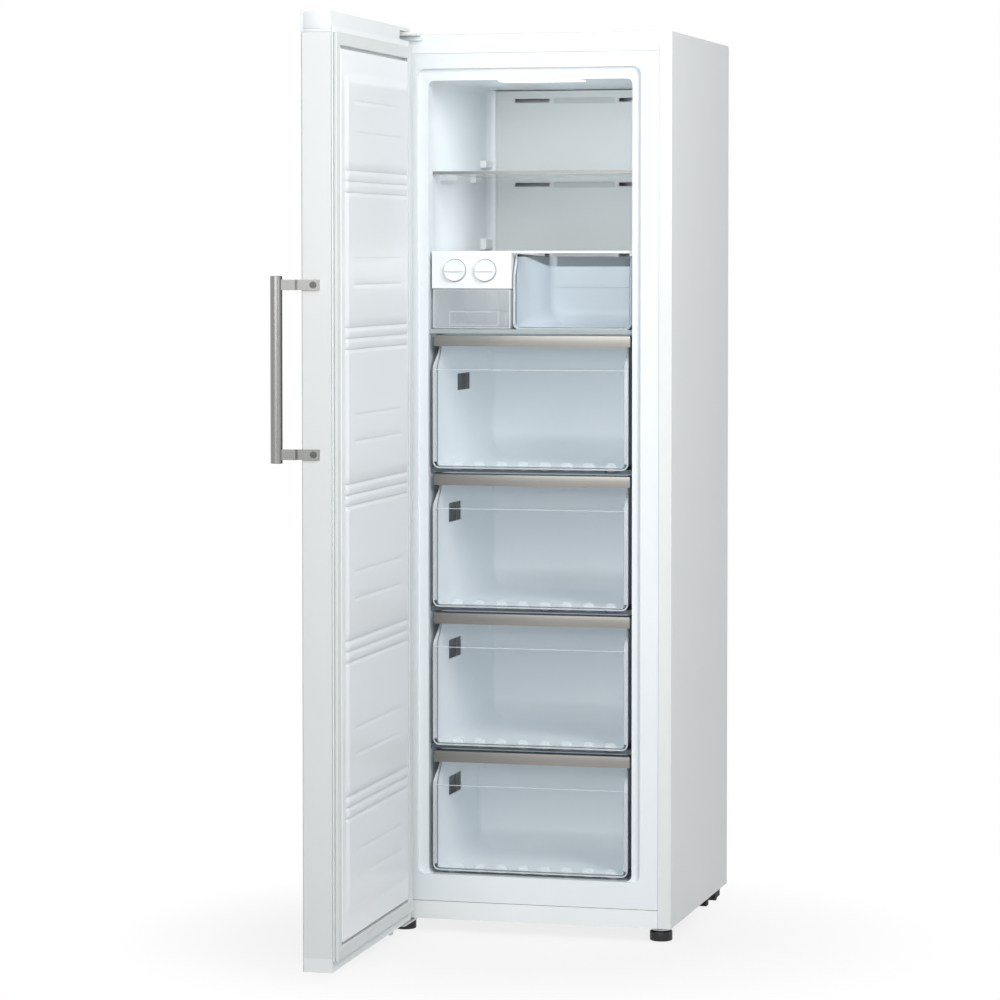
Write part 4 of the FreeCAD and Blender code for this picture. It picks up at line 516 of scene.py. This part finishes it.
def edge_front(name, tub, body, reach=6.0, foot_radius=12.0, bead=1.7, ledged=True):
    """Wings and beads round a clear front, and the ledge that fingers pull on, in the whiter rim plastic:
    painted highlights.
    """
    shape = bmesh.new()
    middle = (tub.left + tub.right) / 2
    half = (tub.right - tub.left) / 2
    outline = front_edge(tub, reach, foot_radius)
    for side in (-1, 1):
        rings = []
        for x, y, z in outline[:10]:
            inner = middle + side * (half - 1.0)
            outer = middle + side * x
            rings.append([(inner, y, z), (outer, y, z), (outer, y + WALL, z), (inner, y + WALL, z)])
        rings.append([(px, py, tub.low + foot_radius) for px, py, _ in rings[-1]])
        stack(shape, rings)
    path = [(middle - x, y + 1, z) for x, y, z in outline]
    path += [(middle + x, y + 1, z) for x, y, z in outline[::-1]]
    tube(shape, path, bead)
    ends = [(middle + side * (half + reach), tub.front + 0.6, tub.ledge) for side in (-1, 1)]
    if ledged:
        tube(shape, ends, 0.8)
    return settle(name, shape, [RIM_HIGHLIGHT], body, ())


DRAWER_TOPS = {1: 1229.0, 2: 944.0, 3: 659.0, 4: 374.0}
DRAWER_FLOORS = {1: 957.0, 2: 672.0, 3: 387.0, 4: 128.0}
DRAWER_BACKS = {1: 450.0, 2: 450.0, 3: 450.0, 4: 335.0}
GRIP_DROP = 71.0
TRIM_HEIGHT = 23.0
TRIM_DEPTH = 30.0
DRAWER_FRONT = 12.0
DRAWER_HALF = 198.0


# Hand holes: front edge, rear edge, then how far their upper and lower edges lie below the drawer's top.
TOP_HAND_HOLE = (168, 272, 84, 119)
HAND_HOLE = (100, 200, 66, 106)
# Pads of painted shade behind them: front end, rear end and drop below the drawer's top; all are as high.
TOP_SHADE_PAD = (150, 290, 76)
SHADE_PAD = (84, 216, 58)
SHADE_PAD_HEIGHT = 56
BUMP_COUNT = 8
BUMP_PITCH = 46
BUMP_SIZE = (26, 10, 20)


def wrap_trim(index, high):
    """Trim of a drawer: sheet folded over its upper edge, a little crowned, with rounded ends."""
    shape = bmesh.new()
    section = [(0, -TRIM_HEIGHT), (-0.3, -17), (-0.4, -11), (-0.3, -4.5), (0.1, -1), (1.1, 0)]
    section += [(TRIM_DEPTH, 0), (TRIM_DEPTH, -1.8), (3, -1.8), (1.8, -3), (1.8, -TRIM_HEIGHT)]
    middle = -TRIM_HEIGHT / 2
    rings = []
    for x, tuck in ((-203.4, 1.6), (-202.6, 0.5), (-201, 0), (207, 0), (208.6, 0.5), (209.4, 1.6)):
        ease = 1 - tuck / (TRIM_HEIGHT / 2)
        front = DRAWER_FRONT + tuck * 0.6
        rings.append([(x, front + y, high + middle + (z - middle) * ease) for y, z in section])
    stack(shape, rings)
    body = f"drawer_{index}"
    settle(f"{body}_trim_sheet", shape, [TRIM_METAL], body, [f"{body}_trim"])


def furnish_drawers():
    """Each large drawer: its tub with hand holes, front edges with painted highlights, trim and glowing floor
    bumps.
    """
    for index, high in DRAWER_TOPS.items():
        low = DRAWER_FLOORS[index]
        back, ledge = DRAWER_BACKS[index], high - GRIP_DROP
        tub = Tub(DRAWER_HALF, 0, DRAWER_FRONT, back, low, high, ledge, TRIM_DEPTH, TRIM_HEIGHT)
        near, far, window_top, window_foot = TOP_HAND_HOLE if index == 1 else HAND_HOLE
        window = (near, far, high - window_foot, high - window_top)
        body = f"drawer_{index}"
        mould_tub(f"drawer_{index}_tub", tub, body, [f"drawer_{index}"], window)
        edge_front(f"drawer_{index}_front_rim", tub, body)
        wrap_trim(index, high)
        bumps = grow(
            f"drawer_{index}_floor_bumps",
            grid_tree("floor_bumps", "dome"),
            {
                "Columns": BUMP_COUNT,
                "Rows": 1,
                "Pitch X": BUMP_PITCH * MM,
                "Pitch Z": 0.0,
                "Part Size": Vector(BUMP_SIZE) * MM,
                "Place": Vector((6, 25, low + 4)) * MM,
                "Finish": CLOUDY,
            },
        )
        join_body(f"drawer_{index}_floor_bumps", bumps, body, ())


# ---- things that repeat, grown by geometry nodes ----


def grid_tree(name, part):
    """A tree that sets equal parts on a grid in the XZ plane: low domes or flat discs."""
    if name in bpy.data.node_groups:
        return bpy.data.node_groups[name]
    tree = bpy.data.node_groups.new(name, "GeometryNodeTree")
    for label, kind in (
        ("Columns", "NodeSocketInt"),
        ("Rows", "NodeSocketInt"),
        ("Pitch X", "NodeSocketFloat"),
        ("Pitch Z", "NodeSocketFloat"),
        ("Part Size", "NodeSocketVector"),
        ("Place", "NodeSocketVector"),
        ("Finish", "NodeSocketMaterial"),
    ):
        tree.interface.new_socket(label, in_out="INPUT", socket_type=kind)
    tree.interface.new_socket("Geometry", in_out="OUTPUT", socket_type="NodeSocketGeometry")
    given = add(tree, "NodeGroupInput").outputs
    spans = []
    for count, pitch in (("Columns", "Pitch X"), ("Rows", "Pitch Z")):
        less = add(tree, "ShaderNodeMath", {0: given[count], 1: 1.0}, operation="SUBTRACT").outputs[0]
        spans.append(add(tree, "ShaderNodeMath", {0: less, 1: given[pitch]}, operation="MULTIPLY").outputs[0])
    spots = add(
        tree,
        "GeometryNodeMeshGrid",
        {"Size X": spans[0], "Size Y": spans[1], "Vertices X": given["Columns"], "Vertices Y": given["Rows"]},
    ).outputs["Mesh"]
    upright = add(
        tree,
        "GeometryNodeTransform",
        {"Geometry": spots, "Rotation": (math.radians(90), 0, 0), "Translation": given["Place"]},
    ).outputs["Geometry"]
    if part == "dome":
        ball = {"Segments": 12, "Rings": 6, "Radius": 0.5}
        unit = add(tree, "GeometryNodeMeshUVSphere", ball).outputs["Mesh"]
    else:
        unit = add(
            tree, "GeometryNodeMeshCylinder", {"Vertices": 8, "Radius": 0.5, "Depth": 1.0}
        ).outputs["Mesh"]
        unit = add(
            tree, "GeometryNodeTransform", {"Geometry": unit, "Rotation": (math.radians(90), 0, 0)}
        ).outputs["Geometry"]
    placed = add(
        tree,
        "GeometryNodeInstanceOnPoints",
        {"Points": upright, "Instance": unit, "Scale": given["Part Size"]},
    ).outputs["Instances"]
    real = add(tree, "GeometryNodeRealizeInstances", {"Geometry": placed}).outputs["Geometry"]
    smooth = add(tree, "GeometryNodeSetShadeSmooth", {"Geometry": real}).outputs["Geometry"]
    done = add(tree, "GeometryNodeSetMaterial", {"Geometry": smooth, "Material": given["Finish"]})
    add(tree, "NodeGroupOutput", {"Geometry": done.outputs["Geometry"]})
    return tree


def grow(name, tree, values):
    """Run a geometry tree with these values and keep what it makes as a plain mesh."""
    seed = bpy.data.objects.new(name + "_seed", bpy.data.meshes.new(name + "_seed"))
    bpy.context.collection.objects.link(seed)
    held = seed.modifiers.new("grow", "NODES")
    held.node_group = tree
    sockets = {item.name: item.identifier for item in tree.interface.items_tree if item.in_out == "INPUT"}
    for label, value in values.items():
        held[sockets[label]] = value
    bpy.context.view_layer.update()
    mesh = bpy.data.meshes.new_from_object(seed.evaluated_get(bpy.context.evaluated_depsgraph_get()))
    bpy.data.objects.remove(seed)
    mesh.name = name
    return mesh


HOLE_BANDS = (1725, 1544, 1391)
HOLE_PITCH = 6.6
HOLE_SIZE = (2.6, 0.4, 2.4)
DUCT_FACE = 485.9


def shade_duct_holes():
    """Painted shade of fine holes, row against row, in three bands across the duct panel between its slots:
    flat discs, not cut through.
    """
    for number, height in enumerate(HOLE_BANDS, start=1):
        for half, columns, rise in (("odd", 21, -HOLE_PITCH / 4), ("even", 20, HOLE_PITCH / 4)):
            holes = grow(
                f"duct_perforation_{number}_{half}",
                grid_tree("duct_hole_shade", "disc"),
                {
                    "Columns": columns,
                    "Rows": 2,
                    "Pitch X": HOLE_PITCH * MM,
                    "Pitch Z": HOLE_PITCH * MM,
                    "Part Size": Vector(HOLE_SIZE) * MM,
                    "Place": Vector((0, DUCT_FACE, height + rise)) * MM,
                    "Finish": HOLE_SHADE,
                },
            )
            join_body(f"duct_perforation_{number}_{half}", holes, "cabinet", ())


# The pads' backs, a hair off the liner's inner walls.
PAD_BACK = 213.6


def line_windows():
    """Dark slate pads on the liner's walls, seen through the drawers' hand windows: painted shade of the gap
    behind them.
    """
    for index, high in DRAWER_TOPS.items():
        near, far, drop = TOP_SHADE_PAD if index == 1 else SHADE_PAD
        top = high - drop
        for name, x in (("left", -PAD_BACK), ("right", PAD_BACK)):
            face = x * 0.994
            shape = bmesh.new()
            slab(shape, (min(x, face), near, top - SHADE_PAD_HEIGHT), (max(x, face), far, top), 0.4)
            settle(f"shade_pad_{index}_{name}", shape, [SLATE_SHADE], "cabinet", ())


def furnish_rear_corners():
    """The formed liner rounds into its rear wall, up both rear corners behind the shelves."""
    radius, steps = 20.0, 10
    deck, ceiling = 1241.5, 1747.4
    for side in (-1, 1):
        shape = bmesh.new()
        wall, rear = side * 213.9, 482.4
        centre_x, centre_y = wall - side * radius, rear - radius
        turns = [math.radians(90 * k / steps) for k in range(steps + 1)]
        arc = [(centre_x + side * radius * math.cos(t), centre_y + radius * math.sin(t)) for t in turns]
        section = arc + [(wall, rear)]
        stack(shape, [[(x, y, z) for x, y in section] for z in (deck, ceiling)])
        name = "liner_corner_right" if side > 0 else "liner_corner_left"
        settle(name, shape, [LINER_WHITE], "cabinet", ())


# ---- ice maker ----


def furnish_ice_maker():
    """The small drawer, the ice bucket with its beads and inner tray, and the two knobs; the beads and lines
    are painted highlights.
    """
    small = Tub(120.5, 85.5, 25, 325, 1241.3, 1395, 1343, 14, 6, rear_drop=27)
    thin = [MILKY_THIN, CRYSTAL, MILKY_OUTSIDE_SHADE]
    mould_tub("small_drawer_tub", small, "small_drawer", ["small_drawer"], None, 5, 16, thin)
    edge_front("small_drawer_front_rim", small, "small_drawer", 1.5, 14.0, 2.6, False)
    # Bright lines along the small drawer's rear rib and top edges: painted highlights.
    line = bmesh.new()
    tube(line, [(-26, 321.6, 1325), (197, 321.6, 1325)], 0.9, 6)
    tube(line, [(-34, 30, 1395), (-34, 322, 1368)], 1.6, 6)
    tube(line, [(-34, 324, 1368), (205, 324, 1368)], 1.2, 6)
    settle("small_drawer_rib_highlights", line, [RIM_HIGHLIGHT], "small_drawer", ())
    bucket = Tub(82.5, -125, 20, 265, 1241.3, 1322)
    clear_all = [BUCKET_CLEAR, BUCKET_CLEAR, BUCKET_CLEAR]
    mould_tub("ice_bucket_tub", bucket, "ice_bucket", ["ice_bucket"], None, 4, 8, clear_all)
    # Beads of the rim plastic round the bucket's rims, front corners and inner tray: painted highlights of
    # their edges.
    inner = bmesh.new()
    for z in (1243.5, 1321.0):
        loop = [(x, y, z) for x, y in rounded_plan(-206, -44, 21.5, 263.5, 4, 8)]
        tube(inner, loop + loop[:1], 1.2, 6)
    for x, y in ((-205.5, 22), (-45, 22)):
        tube(inner, [(x, y, 1244), (x, y, 1320)], 1.5, 6)
    tray = [(x, y, 1276) for x, y in rounded_plan(-178, -73, 40, 240, 6, 6)]
    tube(inner, tray + tray[:1], 1.3, 6)
    foot = [(x, y, 1248) for x, y in rounded_plan(-176, -75, 42, 238, 6, 6)]
    tube(inner, foot + foot[:1], 1.1, 6)
    for x in (-177, -74, -58):
        tube(inner, [(x, 41, 1248), (x, 41, 1276)], 1.3, 6)
    settle("ice_bucket_rim_highlights", inner, [RIM_HIGHLIGHT], "ice_bucket", ())
    for side, x in (("left", -160.0), ("right", -96.0)):
        furnish_knob(side, x, 1361.0)


def furnish_knob(side, x, z):
    """Round knob: a raised rim round a shallow dish, with a grip ridge straight across it."""
    shape = bmesh.new()
    profile = [(0.01, 14.2), (12, 14.0), (19.2, 13.2), (20.3, 12.0), (21.3, 12.0), (22, 12.8)]
    profile += [(22, 19.6), (0.01, 19.6)]
    turns = [2 * math.pi * k / 48 for k in range(49)]
    rings = [
        [(x + radius * math.cos(t), y, z + radius * math.sin(t)) for t in turns[:-1]]
        for radius, y in profile
    ]
    stack(shape, rings)
    ridge = []
    for across in (-20.0, -18.5, 18.5, 20.0):
        peak = 9.0 if abs(across) < 19 else 12.5
        section = [(15.0, -3.4), (peak + 1.2, -2.6), (peak, -1.6), (peak, 1.0), (15.0, 3.6)]
        ridge.append([(x + across, y, z + up) for y, up in section])
    stack(shape, ridge)
    knob = f"ice_knob_{side}"
    settle(f"{knob}_face", shape, [ABS_WHITE], f"ice_twister_{side}", [knob])
    groove = bmesh.new()
    tube(groove, [(x + 23.0 * math.cos(t), 19.9, z + 23.0 * math.sin(t)) for t in turns], 0.7, 6)
    settle(f"{knob}_seam", groove, [ABS_GREY], "cabinet", ())


# ---- door ----

HINGE = (-271.5, -37.4)
DOOR_OPEN = 88.5
DOOR_FACE = 25.4


def swing(shape):
    """Bring a mesh drawn about the hinge, door shut, to the door's open place."""
    turn = Matrix.Rotation(math.radians(-DOOR_OPEN), 3, "Z")
    bmesh.ops.rotate(shape, verts=shape.verts, cent=(0, 0, 0), matrix=turn)
    bmesh.ops.translate(shape, verts=shape.verts, vec=(HINGE[0], HINGE[1], 0))
    return shape


def depth_in(x, z, left, right, low, high, radius):
    """How far a point lies inside a rounded rectangle; negative outside."""
    dx = max(left + radius - x, x - (right - radius), 0.0)
    dz = max(low + radius - z, z - (high - radius), 0.0)
    if dx > 0 and dz > 0:
        return radius - math.hypot(dx, dz)
    return min(x - left, right - x, z - low, high - z)


# Heights of the inner panel's long grooves, in threes, and of its short dents.
GROOVES = [332 + 300 * k + 21 * step for k in range(5) for step in (-1, 0, 1)]
DENTS = [1687, 1627, 1386, 1335, 1085, 1034, 783, 731, 481, 430, 242, 191]


GROOVE_DEPTH = 3.4
DENT_DEPTH = 1.1
# A fold's deepest line, the top of the lip above it and the end of the run below it.
FOLD_FLOOR = 0.7
FOLD_LIP = 2.5
FOLD_RUN = 8.0


def fold_dip(up):
    """Depth, from 0 to 1, of a pressed fold: a steep lip above, then a gentle run back out below."""
    if up > FOLD_FLOOR:
        return smooth_step((FOLD_LIP - up) / (FOLD_LIP - FOLD_FLOOR))
    return smooth_step((up + FOLD_RUN) / (FOLD_RUN + FOLD_FLOOR))


def panel_rise(x, z):
    """Height of the inner panel's face over the door's: dyke, plug, grooves and short dents."""
    dyke = 11 * smooth_step(depth_in(x, z, 27, 536.5, 74, 1787.5, 8) / 5)
    plug = 4 * smooth_step(depth_in(x, z, 35, 512, 119, 1744, 26) / 24)
    rise = dyke + plug
    for height in GROOVES:
        if -FOLD_RUN < z - height < FOLD_LIP:
            ends = smooth_step((x - 38) / 12) * smooth_step((512 - x) / 12)
            rise -= GROOVE_DEPTH * ends * fold_dip(z - height)
    for height in DENTS:
        if -FOLD_RUN < z - height < FOLD_LIP:
            ends = smooth_step((x - 96) / 20) * smooth_step((462 - x) / 20)
            rise -= DENT_DEPTH * ends * fold_dip(z - height)
    return rise


def spaced(start, stop, coarse, fine_zones):
    """Places from start to stop: coarse steps, and fine ones inside zones of middle, half and step."""
    places = {start, stop}
    place = start
    while place < stop:
        places.add(place)
        place += coarse
    for middle, half, step in fine_zones:
        places = {p for p in places if p in (start, stop) or abs(p - middle) > half}
        count = int(2 * half / step)
        places |= {middle - half + 2 * half * k / count for k in range(count + 1)}
    return sorted(p for p in places if start <= p <= stop)


def furnish_door_panel():
    """Vacuum-formed inner panel: one sheet, drawn over soft edges, with its grooves and dents."""
    bends = [(31, 8, 1.6), (50, 11, 2), (106, 10, 5), (452, 10, 5), (500, 14, 2), (534, 8, 1.6)]
    columns = spaced(-14, 557, 24, bends)
    zones = [(77, 5, 1.6), (124, 13, 2), (1732, 13, 2), (1784, 5, 1.6)]
    for height in GROOVES + DENTS:
        zones += [(height - 3.8, 4.6, 1.5), (height + 1.7, 0.9, 0.6)]
    rows = spaced(53, 1826, 20, zones)
    shape = bmesh.new()
    grid = [[shape.verts.new((x, DOOR_FACE + panel_rise(x, z), z)) for x in columns] for z in rows]
    for low, high in zip(grid, grid[1:]):
        for i in range(len(columns) - 1):
            shape.faces.new((low[i], low[i + 1], high[i + 1], high[i]))
    edge = grid[0] + [row[-1] for row in grid[1:-1]] + grid[-1][::-1] + [row[0] for row in grid[-2:0:-1]]
    back = [shape.verts.new((v.co.x, DOOR_FACE - 2.4, v.co.z)) for v in edge]
    for i in range(len(edge)):
        j = (i + 1) % len(edge)
        shape.faces.new((edge[i], edge[j], back[j], back[i]))
    shape.faces.new(back)
    settle("door_panel_sheet", swing(shape), [DOOR_SHEET], "door", ["door_liner"], 60)


GASKET_SECTION = [
    (20.0, 0.0), (23.3, 0.5), (24.0, 1.3), (24.0, 3.1), (23.4, 3.8), (20.6, 4.2), (20.6, 5.4), (23.4, 5.9),
    (24.0, 6.7), (24.0, 10.6), (23.2, 11.5), (12.0, 11.2), (0.8, 11.5), (0.0, 10.6), (0.0, 6.7), (0.6, 5.9),
    (3.4, 5.4), (3.4, 4.2), (0.6, 3.8), (0.0, 3.1), (0.0, 1.3), (0.7, 0.5), (4.0, 0.0),
]


def furnish_gasket():
    """Door seal: a hollow bead and a magnet pocket on thin bellows, welded square at the corners."""
    width = 24
    left, right, low, high = 0.5 + width, 563.0 - width, 47.5 + width, 1814.0 - width
    shape = bmesh.new()
    corners = ((left, low, -1, -1), (right, low, 1, -1), (right, high, 1, 1), (left, high, -1, 1))
    rings = [
        [(x + sx * out, DOOR_FACE + rise, z + sz * out) for out, rise in GASKET_SECTION]
        for x, z, sx, sz in corners
    ]
    stack(shape, rings + rings[:1], caps=False)
    settle("door_seal", swing(shape), [SEAL_PVC], "door", ["door_gasket"], 28)


def line_door_cap():
    """End plate of the door's top cap: a raised field with a fine groove on two sides."""
    shape = bmesh.new()
    front, back, low, high = -32.4, 25.2, 1813.5, 1851.8
    slab(shape, (566.6, front, low), (567.9, back, high), 0.3)
    slab(shape, (567.5, front, low), (569.0, front + 4, high), 0.4)
    slab(shape, (567.5, front + 5, low), (569.0, back, low + 4.7), 0.4)
    slab(shape, (567.5, front + 5, low + 5.7), (569.0, back, high), 0.4)
    settle("door_cap_field", swing(shape), [ABS_WHITE], "door", ())


FOOT_X = 271
FOOT_Y = 33
FOOT_RIBS = 48
# Radius and height of the foot's wheel and of its stem, from the floor up.
FOOT_WHEEL = ((21, 0), (22.6, 0.9), (23, 2.4), (23, 17.6), (22.4, 19.4), (20.6, 20.4), (6, 20.4))
STEM_FOOT = ((5, 20.4), (5, 21.6))
STEM_TOP = ((5, 24.4), (5, 41.5))


def furnish_feet():
    """Screw feet: a fat black moulded wheel, ribbed for the fingers, on a plated stem with a collar."""
    for side, x, collar in (("left", -FOOT_X, 8), ("right", FOOT_X, 19)):
        body = f"foot_{side}"
        wheel = bmesh.new()
        rings = []
        for radius, z in FOOT_WHEEL:
            ring = []
            for k in range(FOOT_RIBS * 2):
                turn = math.pi * k / FOOT_RIBS
                reach = radius - (0.35 if k % 2 and radius > 22 else 0)
                ring.append((x + reach * math.cos(turn), FOOT_Y + reach * math.sin(turn), z))
            rings.append(ring)
        stack(wheel, rings)
        for k in range(3):
            turn = math.radians(250 + 40 * k)
            px, py = x + 17 * math.cos(turn), FOOT_Y + 17 * math.sin(turn)
            slab(wheel, (px - 2.2, py - 1.2, 20), (px + 2.2, py + 1.2, 20.9), 0.3)
        settle(f"{body}_wheel", wheel, [PP_BLACK], body, [body])
        stem = bmesh.new()
        turns = [2 * math.pi * k / 32 for k in range(32)]
        rings = [
            [(x + radius * math.cos(t), FOOT_Y + radius * math.sin(t), z) for t in turns]
            for radius, z in STEM_FOOT + ((collar, 21.6), (collar, 24.0)) + STEM_TOP
        ]
        stack(stem, rings)
        settle(f"{body}_stem", stem, [ZINC], body, ())


furnish_drawers()
shade_duct_holes()
furnish_rear_corners()
line_windows()
furnish_ice_maker()
furnish_door_panel()
furnish_gasket()
line_door_cap()
furnish_feet()


# ---- studio ----

# Half the floor's side; where it starts to fade to white and where it has done so, from the middle; and how
# white it already is near the middle. All but the last in metres.
FLOOR_HALF = 9.0
WHITE_FROM = 0.35
WHITE_BY = 0.85
NEAR_WHITE = 0.82


def backdrop_rays(tree):
    """1 for rays from the camera, from mirrors and through glass, else 0."""
    path = add(tree, "ShaderNodeLightPath")
    seen = path.outputs["Is Camera Ray"]
    for kind in ("Is Glossy Ray", "Is Transmission Ray"):
        pair = {0: seen, 1: path.outputs[kind]}
        seen = add(tree, "ShaderNodeMath", pair, operation="MAXIMUM").outputs[0]
    return seen


def lay_floor():
    """Pale floor that keeps the freezer's shadow and fades to plain white away from it."""
    shape = bmesh.new()
    bmesh.ops.create_grid(shape, x_segments=1, y_segments=1, size=FLOOR_HALF)
    mesh = bpy.data.meshes.new("studio_floor")
    shape.to_mesh(mesh)
    floor = bpy.data.objects.new("studio_floor", mesh)
    bpy.context.collection.objects.link(floor)
    made = bpy.data.materials.new("pale_studio_floor")
    made.use_nodes = True
    tree = made.node_tree
    tree.nodes.clear()
    place = add(tree, "ShaderNodeTexCoord").outputs["Object"]
    reach = add(tree, "ShaderNodeVectorMath", {0: place}, operation="LENGTH").outputs["Value"]
    fade = {"Value": reach, "From Min": WHITE_FROM, "From Max": WHITE_BY, "To Min": NEAR_WHITE}
    away = add(tree, "ShaderNodeMapRange", fade)
    both = {0: backdrop_rays(tree), 1: away.outputs[0]}
    seen = add(tree, "ShaderNodeMath", both, operation="MULTIPLY")
    matt = add(tree, "ShaderNodeBsdfDiffuse", {"Color": linear("D6D6D6")})
    white = add(tree, "ShaderNodeEmission", {"Color": (1, 1, 1, 1), "Strength": 1.0})
    choice = {0: seen.outputs[0], 1: matt.outputs[0], 2: white.outputs[0]}
    mixed = add(tree, "ShaderNodeMixShader", choice)
    add(tree, "ShaderNodeOutputMaterial", {"Surface": mixed.outputs[0]})
    mesh.materials.append(made)


def light_room():
    """Even white room, seen as pure white."""
    world = bpy.data.worlds.new("studio_room")
    bpy.context.scene.world = world
    world.use_nodes = True
    tree = world.node_tree
    tree.nodes.clear()
    room = add(tree, "ShaderNodeBackground", {"Color": linear("EAF1FC"), "Strength": 0.2})
    white = add(tree, "ShaderNodeBackground", {"Color": (1, 1, 1, 1), "Strength": 1.0})
    choice = {0: backdrop_rays(tree), 1: room.outputs[0], 2: white.outputs[0]}
    mixed = add(tree, "ShaderNodeMixShader", choice)
    add(tree, "ShaderNodeOutputWorld", {"Surface": mixed.outputs[0]})


def hang_lamp(name, place, aim, size, watts):
    """A soft white rectangle of light, in metres and watts, turned towards its aim."""
    lamp = bpy.data.lights.new(name, "AREA")
    lamp.shape = "RECTANGLE"
    lamp.size, lamp.size_y = size
    lamp.energy = watts
    held = bpy.data.objects.new(name, lamp)
    held.location = place
    held.rotation_euler = (Vector(aim) - Vector(place)).to_track_quat("-Z", "Y").to_euler()
    bpy.context.collection.objects.link(held)


CAMERA_PLACE = (1.88318, -7.37566, 1.394345)
CAMERA_DIP = 2.383
CAMERA_TURN = 14.756
LENS_MM = 134.905


def set_camera():
    """Long lens at the place that was fitted to the photograph, a little above the freezer's middle."""
    camera = bpy.data.cameras.new("camera")
    camera.lens = LENS_MM
    camera.sensor_width = 36
    camera.shift_y = -0.09
    camera.clip_end = 60
    held = bpy.data.objects.new("camera", camera)
    held.location = CAMERA_PLACE
    held.rotation_euler = (math.radians(90 - CAMERA_DIP), 0, math.radians(CAMERA_TURN))
    bpy.context.collection.objects.link(held)
    bpy.context.scene.camera = held


lay_floor()
light_room()
# Two studio softboxes, the freezer's own lamp and a faint fill behind the shelf's front edge.
hang_lamp("key_softbox", (1.95, -2.05, 2.65), (0, 0, 1.1), (1.2, 2.0), 78)
hang_lamp("front_softbox", (0.1, -5.0, 2.25), (0, 0, 1.1), (3.2, 2.0), 70)
hang_lamp("freezer_lamp", (0.016, 0.049, 1.741), (0.03, 0.45, 1.3), (0.15, 0.03), 0.5)
hang_lamp("shelf_fill", (0.02, 0.085, 1.552), (0.02, 0.48, 1.4), (0.16, 0.008), 0.17)
set_camera()
bpy.context.scene.view_settings.view_transform = "Standard"
